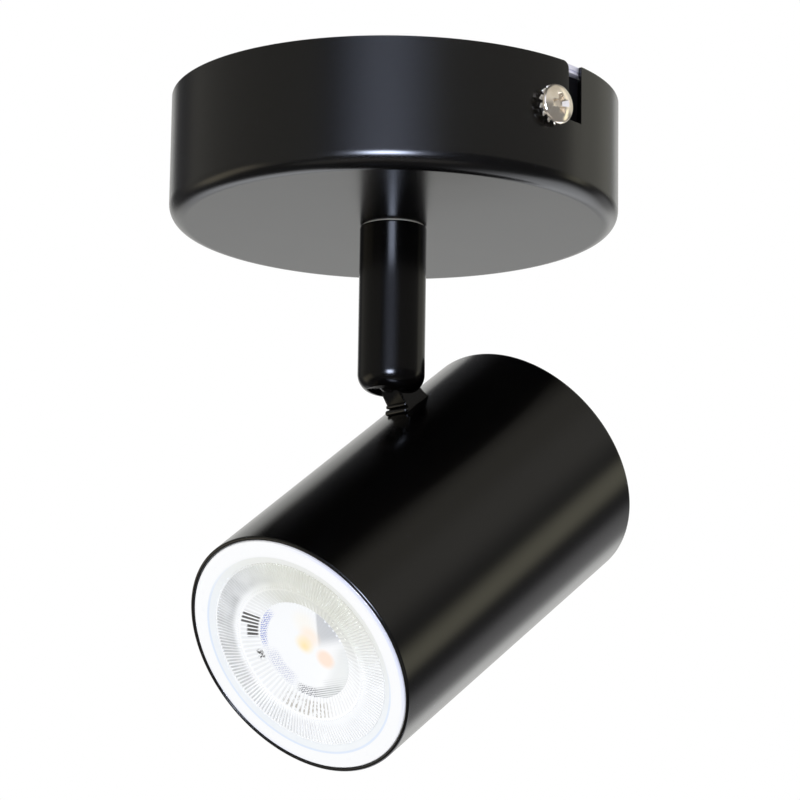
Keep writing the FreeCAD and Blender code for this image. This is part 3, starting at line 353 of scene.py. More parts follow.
@dataclass(frozen=True)
class Plated(Finish):
    """Plated or bare metal with fine scratches and cloudy gloss."""

    slot: str
    colour: Colour
    worn: Colour
    rough: float
    brushed: float = 0.05
    metallic: float = 1.0
    cloud: float = 2.2
    scratch: float = 0.5
    uneven: float = 0.14
    relief: float = 0.004

    def shade(self, graph: Graph) -> Wire:
        """Build the metal.

        Args:
            graph: the material's tree.
        Returns:
            The shader.
        """
        spot = graph.place()
        cloud = graph.noise(spot, self.cloud, 4.0, 0.6)
        stretched = graph.wire("ShaderNodeMapping", values={"Vector": spot, "Scale": (1.0, 1.0, 9.0)})
        scratch = graph.noise(stretched, self.scratch, 3.0, 0.7)
        rough = self.rough + (cloud - 0.5) * self.uneven + (scratch - 0.5) * self.brushed * 2
        colour = graph.mix(cloud.within(0.45, 0.8, 0.3), self.colour, self.worn)
        return graph.principled({"Base Color": colour, "Metallic": self.metallic, "Roughness": rough,
                                 "Normal": graph.bump(scratch, self.relief)})


@dataclass(frozen=True)
class Moulded(Finish):
    """Moulded plastic or fired ceramic: fine surface grain, a little unevenness of colour and, where set,
    painted light as emission.
    """

    slot: str
    colour: Colour
    shaded: Colour
    rough: float
    grain: float = 0.4
    deep: float = 0.006
    # painted light: an emission that makes a part shine though it is no lamp
    painted_glow: float = 0.0
    cloud: float = 5.0
    uneven: float = 0.1

    def shade(self, graph: Graph) -> Wire:
        """Build the material.

        Args:
            graph: the material's tree.
        Returns:
            The shader.
        """
        spot = graph.place()
        grain = graph.noise(spot, self.grain, 3.0)
        cloud = graph.noise(spot, self.cloud)
        return graph.principled({"Base Color": graph.mix(cloud, self.colour, self.shaded),
                                 "Roughness": self.rough + (grain - 0.5) * self.uneven,
                                 "Emission Color": self.colour, "Emission Strength": self.painted_glow,
                                 "Normal": graph.bump(grain, self.deep)})


@dataclass(frozen=True)
class Woven(Finish):
    """Braided glass-fibre sleeve."""

    slot: str = "sleeve"
    thread: Colour = (0.62, 0.57, 0.46)
    gap: Colour = (0.25, 0.21, 0.15)
    strands: float = 6.0
    rise: float = 5.0
    relief: float = 0.08

    def shade(self, graph: Graph) -> Wire:
        """Build the braid from two sets of slanting waves.

        Args:
            graph: the material's tree.
        Returns:
            The shader.
        """
        across, along, up = graph.parts(graph.place())
        turn = along.math("ARCTAN2", across) * self.strands
        left = (up * self.rise + turn).math("SINE")
        right = (up * self.rise - turn).math("SINE")
        weave = (left * right) * 0.5 + 0.5
        return graph.principled({"Base Color": graph.mix(weave, self.gap, self.thread), "Roughness": 0.75,
                                 "Normal": graph.bump(weave, self.relief)})


@dataclass(frozen=True)
class Striped(Finish):
    """Lead insulation, in one colour or in two stripes along it."""

    slot: str
    colour: Colour
    stripe: Colour
    slant: tuple[float, float, float] = (1.1, 0.7, 1.6)
    grain: float = 0.4
    relief: float = 0.01

    def shade(self, graph: Graph) -> Wire:
        """Build the insulation.

        Args:
            graph: the material's tree.
        Returns:
            The shader.
        """
        spot = graph.place()
        x, y, z = (place * pace for place, pace in zip(graph.parts(spot), self.slant))
        wave = (z + x + y).math("SINE")
        return graph.principled({"Base Color": graph.mix(wave.above(0.1, 0.2), self.colour, self.stripe),
                                 "Roughness": 0.4,
                                 "Normal": graph.bump(graph.noise(spot, self.grain), self.relief)})


class Metal(Enum):
    """The bare and plated metals of the fixture."""

    ZINC = Plated("zinc_plate", (0.84, 0.84, 0.97), (0.74, 0.74, 0.88), 0.36, 0.05, 0.3)
    NICKEL = Plated("nickel_plate", (0.97, 0.89, 0.78), (0.92, 0.83, 0.70), 0.07, 0.01, 0.86)
    SPRING = Plated("spring_steel", (0.95, 0.90, 0.82), (0.86, 0.80, 0.70), 0.26, 0.03, 0.55)
    BRASS = Plated("brass", (0.72, 0.52, 0.22), (0.50, 0.34, 0.13), 0.30)
    ALUMINIUM = Plated("aluminium", (0.78, 0.79, 0.80), (0.62, 0.63, 0.64), 0.42, 0.12)


class Plastic(Enum):
    """The moulded, fired and printed materials of the fixture, and the floor's."""

    NYLON = Moulded("nylon", (0.66, 0.64, 0.58), (0.56, 0.54, 0.48), 0.42)
    BLACK = Moulded("black_plastic", (0.010, 0.010, 0.011), (0.006, 0.006, 0.007), 0.42)
    CERAMIC = Moulded("ceramic", (0.74, 0.71, 0.63), (0.64, 0.60, 0.52), 0.55, 0.6, 0.02)
    WHITE = Moulded("lamp_white", (0.83, 0.85, 0.88), (0.80, 0.82, 0.86), 0.32, 0.8, 0.003)
    BOARD_WHITE = Moulded("board_white", (0.86, 0.86, 0.84), (0.80, 0.80, 0.78), 0.35)
    BOARD_GREEN = Moulded("board_green", (0.02, 0.12, 0.05), (0.015, 0.09, 0.04), 0.35)
    # painted light: the chips shine with their own colour, standing in for the light that falls on them
    PHOSPHOR = Moulded("phosphor", (0.95, 0.62, 0.18), (0.92, 0.55, 0.14), 0.5, painted_glow=0.8)
    FLOOR = Moulded("floor", (0.95, 0.95, 0.95), (0.93, 0.93, 0.93), 0.9, 2.0, 0.01)


# Frames of groups.

@dataclass(frozen=True)
class Frames:
    """Frames of the stem, of the head at its pivot, and of the head's tube, whose z runs back."""

    swivel: float = 2.8
    tilt: float = 36.9
    pivot: float = 55.3
    neck: float = 55.5
    head_drop: float = 33.9

    @property
    def stem(self) -> Matrix:
        """The stem's frame."""
        return Matrix.Rotation(math.radians(self.swivel), 4, "Z")

    @property
    def head(self) -> Matrix:
        """The head's frame, at its pivot."""
        lowered = Matrix.Translation((0, 0, -self.pivot * MM))
        return self.stem @ lowered @ Matrix.Rotation(math.radians(self.tilt), 4, "X")

    @property
    def tube(self) -> Matrix:
        """The tube's frame, from the middle of its front."""
        moved = Matrix.Translation((0, -self.neck * MM, -self.head_drop * MM))
        return self.head @ moved @ Matrix.Rotation(math.radians(-90), 4, "X")


FRAMES = Frames()


# Modelling.

class Bench:
    """Blender's modelling operators, used as by hand on one piece at a time."""

    def __init__(self, name: str) -> None:
        """Name the piece that will be made."""
        self.name = name
        self.piece: Optional[bpy.types.Object] = None

    @staticmethod
    def rest() -> None:
        """Leave edit mode with nothing selected."""
        if bpy.context.object is not None and bpy.context.object.mode != "OBJECT":
            bpy.ops.object.mode_set(mode="OBJECT")
        bpy.ops.object.select_all(action="DESELECT")

    def _take(self) -> None:
        """Take the primitive that was just added as the piece and edit it."""
        self.piece = bpy.context.object
        self.piece.name = self.name
        bpy.ops.object.mode_set(mode="EDIT")

    def _choose(self) -> None:
        """Select the piece alone, in object mode."""
        self.rest()
        bpy.context.view_layer.objects.active = self.piece
        self.piece.select_set(True)

    def pick(self, kind: str, test: Callable) -> int:
        """Select only what passes a test.

        Args:
            kind: "verts", "edges" or "faces".
            test: takes the vertex, edge or face, with its place in metres.
        Returns:
            How many were selected.
        """
        bpy.ops.mesh.select_mode(type={"verts": "VERT", "edges": "EDGE", "faces": "FACE"}[kind])
        bpy.ops.mesh.select_all(action="DESELECT")
        mesh = bmesh.from_edit_mesh(self.piece.data)
        found = [item for item in getattr(mesh, kind) if test(item)]
        for item in found:
            item.select_set(True)
        mesh.select_flush_mode()
        bmesh.update_edit_mesh(self.piece.data)
        return len(found)

    def _line(self, outline: Sequence[Sequence[float]]) -> None:
        """Draw a line of edges from one vertex, point to point, with the last point selected.

        Args:
            outline: points of three numbers.
        """
        self.rest()
        bpy.ops.mesh.primitive_plane_add(size=MM)
        self._take()
        bpy.ops.mesh.select_mode(type="VERT")
        bpy.ops.mesh.select_all(action="SELECT")
        bpy.ops.mesh.merge(type="CENTER")
        spots = [Vector(spot) * MM for spot in outline]
        bpy.ops.transform.translate(value=spots[0])
        for before, spot in zip(spots, spots[1:]):
            bpy.ops.mesh.extrude_region_move(TRANSFORM_OT_translate={"value": spot - before})
        bpy.ops.mesh.select_all(action="SELECT")

    def turn(self, outline: Sequence[Spot], steps: int = 160,
             rounds: Sequence[tuple[float, float, float, int]] = (), closed: bool = True) -> "Bench":
        """Spin an outline about Z and round some of its rims.

        Args:
            outline: points of radius and height.
            steps: how many steps go round.
            rounds: rims as radius, height, radius of the round and its segments.
            closed: the outline's last point joins its first.
        Returns:
            The bench, in edit mode.
        """
        points = list(outline) + ([outline[0]] if closed else [])
        self._line([(radius, 0.0, height) for radius, height in points])
        bpy.ops.mesh.remove_doubles(threshold=MERGE)
        bpy.ops.mesh.spin(steps=steps, angle=FULL_TURN, center=(0, 0, 0), axis=(0, 0, 1))
        self.clean()
        for radius, height, size, segments in rounds:
            self.bevel_rim(radius, height, size, segments)
        return self

    def clean(self) -> None:
        """Merge doubles and turn all faces outwards."""
        bpy.ops.mesh.select_mode(type="VERT")
        bpy.ops.mesh.select_all(action="SELECT")
        bpy.ops.mesh.remove_doubles(threshold=MERGE)
        bpy.ops.mesh.normals_make_consistent(inside=False)

    def bevel_rim(self, radius: float, height: float, size: float, segments: int) -> None:
        """Round the rim of this radius at this height.

        Args:
            radius: the rim's radius.
            height: its height.
            size: radius of the round.
            segments: segments of the round.
        """
        def on_rim(edge: bmesh.types.BMEdge) -> bool:
            """Whether both ends of an edge lie on the rim."""
            return all(abs(vert.co.xy.length / MM - radius) < NEAR and abs(vert.co.z / MM - height) < NEAR
                       for vert in edge.verts)

        if not self.pick("edges", on_rim):
            raise ValueError(f"{self.name} has no rim at {radius}, {height}")
        bpy.ops.mesh.bevel(offset=size * MM, segments=segments, affect="EDGES", clamp_overlap=False)

    def prism(self, outline: Sequence[Sequence[float]], along: Sequence[float]) -> "Bench":
        """Fill an outline and extrude it.

        Args:
            outline: points of three numbers in one plane.
            along: the extrusion.
        Returns:
            The bench, in edit mode.
        """
        self._line([*outline, outline[0]])
        bpy.ops.mesh.remove_doubles(threshold=MERGE)
        bpy.ops.mesh.edge_face_add()
        bpy.ops.mesh.extrude_region_move(TRANSFORM_OT_translate={"value": Vector(along) * MM})
        self.clean()
        return self

    def block(self, low: Sequence[float], high: Sequence[float]) -> "Bench":
        """Start from a cube that is pulled to two corners.

        Args:
            low: its lowest corner.
            high: its highest corner.
        Returns:
            The bench, in edit mode.
        """
        self.rest()
        bpy.ops.mesh.primitive_cube_add(size=MM)
        self._take()
        bpy.ops.mesh.select_all(action="SELECT")
        low, high = Vector(low), Vector(high)
        bpy.ops.transform.resize(value=high - low)
        bpy.ops.transform.translate(value=(high + low) / 2 * MM)
        return self

    def slice(self, spot: Sequence[float], normal: Sequence[float], fill: bool = True) -> "Bench":
        """Cut off what lies beyond a plane, on its normal's side.

        Args:
            spot: a point of the plane.
            normal: the plane's normal.
            fill: close the cut.
        Returns:
            The bench.
        """
        bpy.ops.mesh.select_all(action="SELECT")
        bpy.ops.mesh.bisect(plane_co=Vector(spot) * MM, plane_no=normal, clear_outer=True, use_fill=fill)
        return self

    def add(self, other: "Bench") -> "Bench":
        """Join another bench's piece to this one.

        Args:
            other: the other bench.
        Returns:
            This bench, in object mode.
        """
        self._choose()
        other.piece.select_set(True)
        bpy.ops.object.join()
        return self

    def boolean(self, cutter: "Bench", operation: str = "DIFFERENCE") -> "Bench":
        """Cut the piece with another one, which is used up.

        Args:
            cutter: the other piece's bench.
            operation: Blender's name of the operation.
        Returns:
            The bench, in object mode.
        """
        self.rest()
        modifier = self.piece.modifiers.new("cut", "BOOLEAN")
        modifier.operation = operation
        modifier.object = cutter.piece
        modifier.solver = "EXACT"
        self.apply(modifier)
        bpy.data.objects.remove(cutter.piece)
        return self

    def apply(self, modifier: bpy.types.Modifier) -> None:
        """Apply one modifier of the piece."""
        self._choose()
        bpy.ops.object.modifier_apply(modifier=modifier.name)

    def soften(self, width: float, segments: int = 2, angle: float = 40.0) -> "Bench":
        """Round all sharp edges a little.

        Args:
            width: width of the round.
            segments: its segments.
            angle: edges sharper than this are rounded, in degrees.
        Returns:
            The bench, in object mode.
        """
        self.rest()
        modifier = self.piece.modifiers.new("soften", "BEVEL")
        modifier.width = width * MM
        modifier.segments = segments
        modifier.limit_method = "ANGLE"
        modifier.angle_limit = math.radians(angle)
        self.apply(modifier)
        return self

    def smooth(self, angle: float = 40.0, weighted: bool = True) -> "Bench":
        """Shade the piece smooth, with its flat faces left flat.

        Args:
            angle: edges sharper than this stay sharp, in degrees.
            weighted: weigh the normals by the size of the faces.
        Returns:
            The bench, in object mode.
        """
        self._choose()
        bpy.ops.object.shade_smooth_by_angle(angle=math.radians(angle))
        if weighted:
            modifier = self.piece.modifiers.new("weigh", "WEIGHTED_NORMAL")
            modifier.keep_sharp = True
            self.apply(modifier)
        return self

    def ring(self, count: int) -> "Bench":
        """Repeat the piece in edit mode all round Z.

        Args:
            count: how many there are in all.
        Returns:
            The bench.
        """
        bpy.ops.mesh.select_all(action="SELECT")
        bpy.ops.mesh.spin(steps=count, angle=FULL_TURN, center=(0, 0, 0), axis=(0, 0, 1), dupli=True)
        self.clean()
        return self

    def settle(self, matrix: Matrix) -> "Bench":
        """Move the piece into a group's frame and keep the place in its mesh.

        Args:
            matrix: the group's frame.
        Returns:
            The bench, in object mode.
        """
        self._choose()
        self.piece.matrix_world = matrix
        bpy.ops.object.transform_apply(location=True, rotation=True, scale=True)
        return self

    def hand_over(self, body: str, finish: Finish, *nodes: str) -> None:
        """Dress the piece, put it on its body and let it stand for its nodes.

        Args:
            body: the CAD body that it rides on.
            finish: its finish.
            nodes: the CAD nodes that it replaces.
        """
        self.rest()
        finish.dress(self.piece)
        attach(self.piece, body)
        if nodes:
            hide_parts(*nodes)
        log.info("%s: %d faces on %s", self.name, len(self.piece.data.polygons), body)


def arc(middle: Spot, radius: float, start: float, end: float, count: int) -> list[Spot]:
    """Points along an arc between two angles in degrees, with so many parts."""
    turns = [math.radians(start + (end - start) * place / count) for place in range(count + 1)]
    return [(middle[0] + radius * math.cos(turn), middle[1] + radius * math.sin(turn)) for turn in turns]


# Canopy.

@dataclass
class Canopy:
    """The ceiling cup with its slots, bracket, side screws and terminal block.

    A hole is half its length and the radius of its ends.
    """

    radius: float = 45.0
    height: float = 25.8
    wall: float = 0.75
    edge: float = 3.4
    hole: float = 6.2
    slot_near: float = 5.1
    slot_width: float = 3.75
    slot_open: float = 4.1
    slot_drop: float = 11.65
    lead_round: float = 1.5
    screw_drop: float = 10.1
    strap_reach: float = 44.1
    strap_half: float = 11.0
    strap_thick: float = 1.5
    strap_edge: Sequence[Spot] = ((0.0, 0.9), (0.3, 1.0), (0.3, 1.12), (0.1, 1.22))
    lip_thick: float = 1.2
    lip_drop: float = 1.6
    ear_half: float = 3.0
    ear_start: float = 0.5
    ear_drop: float = 14.6
    ear_round: float = 1.5
    cable_hole: Spot = (6.5, 6.45)
    fixing_hole: Spot = (5.0, 2.3)
    fixing_spread: float = 30.0
    earth_hole: Spot = (2.0, 1.97)
    earth_spot: Spot = (-16.0, -3.0)
    washer_thick: float = 0.8
    washer_r: float = 3.95
    tooth_count: int = 14
    tooth_long: float = 1.15
    tooth_root: float = 0.2
    tooth_half: Spot = (0.46, 0.14)
    tooth_twist: float = 34.0
    ring_step: float = 0.15
    lock_r: float = 2.4
    lock_high: float = 0.6
    head_r: float = 3.95
    head_high: float = 1.7
    head_curve: Sequence[Spot] = ((0.45, 0.0), (0.12, 0.12), (0.0, 0.4), (0.05, 0.66), (0.2, 0.86),
                                  (0.45, 1.02), (0.8, 1.14), (1.2, 1.3), (1.8, 1.47), (2.5, 1.6),
                                  (3.2, 1.67))
    screw_r: float = 1.5
    screw_tip: float = 0.3
    screw_past_wall: float = 3.0
    recess_half: float = 3.6
    recess_wide: float = 1.9
    recess_deep: float = 1.1
    recess_turn: float = 8.0
    recess_taper: tuple[float, float, float] = (0.3, 0.5, 1.0)
    block_low: tuple[float, float, float] = (11.0, 5.0, -13.5)
    block_high: tuple[float, float, float] = (41.4, 15.4, -1.5)
    pole_pitch: float = 9.0
    groove: Spot = (0.7, 1.2)
    wire_hole_r: float = 1.9
    wire_drop: float = 8.0

    def build(self) -> None:
        """Build and dress all pieces."""
        self._shell()
        self._bracket()
        for side, word in ((1, "right"), (-1, "left")):
            self._side_screw(side, word)
            self._tooth_washer(side, word)
        self._terminal_block()

    def _slot_cutter(self) -> Bench:
        """The bayonet slot's shape through the +X wall.

        Returns:
            The cutter.
        """
        near, far = self.slot_near, self.slot_near + self.slot_open
        half = self.slot_width / 2
        top = -(self.slot_drop - self.slot_width)
        lead = arc((near - self.lead_round, -self.lead_round), self.lead_round, 90, 0, 6)
        end = arc((0.0, top - half), half, 90, 270, 16)
        outline = [(far, 1.0), (near - self.lead_round, 1.0), *lead, (near, top), *end,
                   (far, -self.slot_drop)]
        spots = [(self.radius - 4, y, z) for y, z in outline]
        return Bench("slot_cutter").prism(spots, (8, 0, 0))

    def _shell(self) -> None:
        """A deep-drawn cup with a round outer edge and one slot on each side."""
        low, floor, inner = -self.height, -(self.height - self.wall), self.radius - self.wall
        bench = Bench("canopy_cup").turn(
            [(self.hole, low), (self.radius, low), (self.radius, 0), (inner, 0), (inner, floor),
             (self.hole, floor)], 240,
            [(self.radius, low, self.edge, 14), (inner, floor, self.edge - self.wall, 8)])
        bench.boolean(self._slot_cutter())
        other = self._slot_cutter()
        other.settle(Matrix.Rotation(math.pi, 4, "Z"))
        bench.boolean(other)
        bench.soften(0.16, 2, 50)
        coat = PowderCoat(tone="_canopy", gloss_low=0.22, gloss_high=0.25)
        bench.smooth(30).hand_over("canopy", coat, "canopy_shell")

    def _bracket(self) -> None:
        """The strap across the ceiling with folded ends, ears for the screws and its holes."""
        reach, lip = self.strap_reach, self.strap_reach - self.lip_thick
        edge = [(reach - back, -down) for back, down in self.strap_edge]
        bench = Bench("ceiling_strap").turn(
            [(0, 0), (reach, 0), *edge, (edge[-1][0], -self.lip_drop), (lip, -self.lip_drop),
             (lip, -self.strap_thick), (0, -self.strap_thick)], 200, closed=False)
        bench.slice((0, self.strap_half, 0), (0, 1, 0)).slice((0, -self.strap_half, 0), (0, -1, 0))
        face = math.sqrt(reach ** 2 - self.ear_half ** 2)
        for side in (1, -1):
            inner, outer = sorted((side * (face - self.strap_thick), side * face))
            ear = Bench("ear").block((inner, -self.ear_half, -self.ear_drop),
                                     (outer, self.ear_half, -self.ear_start))
            ear.pick("edges", lambda edge: all(v.co.z / MM < EDGE_NEAR - self.ear_drop for v in edge.verts)
                     and abs(edge.verts[0].co.x - edge.verts[1].co.x) > MM)
            bpy.ops.mesh.bevel(offset=self.ear_round * MM, segments=6, affect="EDGES")
            bench.boolean(ear, "UNION")
        bench.boolean(self._holes())
        bench.soften(0.2, 2, 40)
        bench.smooth(30).hand_over("canopy", Metal.ZINC.value, "ceiling_bracket")

    def _holes(self) -> Bench:
        """The strap's cable hole, two long fixing slots and small screw holes.

        Returns:
            All of them, as one cutter.
        """
        def bar(name: str, middle: Spot, half_long: float, radius: float) -> Bench:
            """One upright cutter with round ends.

            Args:
                name: its name.
                middle: its middle.
                half_long: half its length along X.
                radius: radius of its ends.
            Returns:
                The cutter.
            """
            x, y = middle
            ends = (arc((x + half_long - radius, y), radius, -90, 90, 16)
                    + arc((x - half_long + radius, y), radius, 90, 270, 16))
            return Bench(name).prism([(*spot, -4) for spot in ends], (0, 0, 8))

        cutter = bar("holes", (0.0, 0.0), *self.cable_hole)
        for side in (1, -1):
            cutter.add(bar("fixing_slot", (side * self.fixing_spread, 0.0), *self.fixing_hole))
        cutter.add(bar("earth_hole", self.earth_spot, *self.earth_hole))
        for side in (1, -1):
            ring = arc((0.0, -self.screw_drop), self.screw_r, 0, 345, 23)
            spots = [(side * 40.0, y, z) for y, z in ring]
            cutter.add(Bench("ear_hole").prism(spots, (side * 5, 0, 0)))
        return cutter

    def _side_screw(self, side: int, word: str) -> None:
        """A pan head with a cross recess, and its shank, along X.

        Args:
            side: 1 for +X and -1 for -X.
            word: the side's name.
        """
        shank = -self.washer_thick - self.lock_high - self.wall - self.screw_past_wall
        high = self.head_high
        curve = [(self.head_r - back, up) for back, up in self.head_curve]
        bench = Bench(f"side_screw_{word}").turn(
            [(0, shank), (self.screw_r - self.screw_tip, shank), (self.screw_r, shank + self.screw_tip),
             (self.screw_r, 0), *curve, (0, high)], 84, closed=False)
        for turn in (90, 0):
            wing = Bench("wing").block((-self.recess_half, -self.recess_wide / 2, high - self.recess_deep),
                                       (self.recess_half, self.recess_wide / 2, high + 1))
            wing.pick("verts", lambda vert: vert.co.z / MM < high)
            bpy.ops.transform.resize(value=self.recess_taper, center_override=(0, 0, 0))
            wing.settle(Matrix.Rotation(math.radians(turn + self.recess_turn), 4, "Z"))
            bench.boolean(wing)
        bench.soften(0.09, 2, 35)
        bench.smooth(30)
        stand = (self.radius + self.washer_thick + self.lock_high) * MM
        outward = Matrix.Translation((side * stand, 0, -self.screw_drop * MM))
        bench.settle(outward @ Matrix.Rotation(side * math.pi / 2, 4, "Y"))
        nodes = ("side_screws",) if side > 0 else ()
        bench.hand_over("canopy", Metal.NICKEL.value, *nodes)

    def _tooth_washer(self, side: int, word: str) -> None:
        """A flat ring with teeth that are twisted out of it, on a smaller ring.

        Args:
            side: 1 for +X and -1 for -X.
            word: the side's name.
        """
        bore, root, low = self.screw_r, self.washer_r - self.tooth_long, self.lock_high
        top, level = low + self.washer_thick, low + self.washer_thick / 2
        under, over = low + self.ring_step, top - self.ring_step
        ring = Bench(f"tooth_washer_{word}").turn(
            [(bore, under), (root, under), (root, over), (bore, over)], 56)
        lock = Bench("lock_ring").turn([(bore, 0), (self.lock_r, 0), (self.lock_r, low), (bore, low)], 56)
        wide, thick = self.tooth_half
        tooth = Bench("tooth").block((root - self.tooth_root, -wide, level - thick),
                                     (self.washer_r, wide, level + thick))
        middle = ((root + self.washer_r) / 2 * MM, 0, level * MM)
        twist = math.radians(self.tooth_twist)
        bpy.ops.transform.rotate(value=twist, orient_axis="X", center_override=middle)
        tooth.ring(self.tooth_count)
        ring.add(tooth).add(lock)
        ring.soften(0.06, 2, 40)
        ring.smooth(30)
        outward = Matrix.Translation((side * self.radius * MM, 0, -self.screw_drop * MM))
        ring.settle(outward @ Matrix.Rotation(side * math.pi / 2, 4, "Y"))
        nodes = ("side_tooth_washers",) if side > 0 else ()
        ring.hand_over("canopy", Metal.SPRING.value, *nodes)

    def _terminal_block(self) -> None:
        """Three moulded poles side by side, with grooves between them and wire holes."""
        low, high = Vector(self.block_low), Vector(self.block_high)
        bench = Bench("terminal_block_body").block(low, high)
        middle = (low + high) / 2
        wide, deep = self.groove
        for step in (-1, 1):
            across = middle.x + step * self.pole_pitch / 2
            for up in (low.z, high.z):
                bench.boolean(Bench("groove").block((across - wide, low.y - 1, up - deep),
                                                    (across + wide, high.y + 1, up + deep)))
        for step in (-1, 0, 1):
            across = middle.x + step * self.pole_pitch
            ring = arc((across, -self.wire_drop), self.wire_hole_r, 0, 345, 23)
            spots = [(x, low.y - 1, z) for x, z in ring]
            bench.boolean(Bench("wire_hole").prism(spots, (0, high.y - low.y + 2, 0)))
        bench.soften(0.35, 3, 40)
        bench.smooth(30).hand_over("canopy", Plastic.BLACK.value, "terminal_block")


# Stem.

@dataclass
class Stem:
    """The turned stem with its round end and the slot for the head's neck."""

    radius: float = 6.7
    top: float = 26.0
    end: float = 60.1
    pivot: float = 55.3
    end_round: float = 3.9
    chamfer: float = 0.4
    bore: float = 4.75
    thread_r: float = 4.95
    thread_end: float = 35.0
    slot_wide: float = 5.6
    slot_front: float = 3.0
    slot_rise: float = 4.4
    notch: float = 0.6

    def build(self) -> None:
        """Build and dress the stem."""
        seat = arc((0.0, -self.pivot), self.bore, 0, -82.5, 11)
        low = -self.pivot - self.bore
        bench = Bench("stem_barrel").turn(
            [(0, -self.end), (self.radius, -self.end), (self.radius, -self.top), (self.thread_r, -self.top),
             (self.thread_r, -self.thread_end), (self.bore, -self.thread_end), *seat, (0, low)], 128,
            [(self.radius, -self.end, self.end_round, 14), (self.radius, -self.top, self.chamfer, 3)],
            closed=False)
        bench.clean()
        out, half = self.radius + 1, self.slot_wide / 2
        top, notch = -self.pivot + self.slot_rise, -self.end + self.notch
        slot = [(-out, -self.end - 1), (out, -self.end - 1), (out, top), (-self.slot_front, top),
                (-self.slot_front, notch), (-out, notch)]
        bench.boolean(Bench("neck_slot").prism([(-half, y, z) for y, z in slot], (2 * half, 0, 0)))
        bench.soften(0.14, 2, 50)
        bench.smooth(32).settle(FRAMES.stem)
        bench.hand_over("stem", PowderCoat(tone="_stem", shine=0.26), "stem_tube")


# Head.

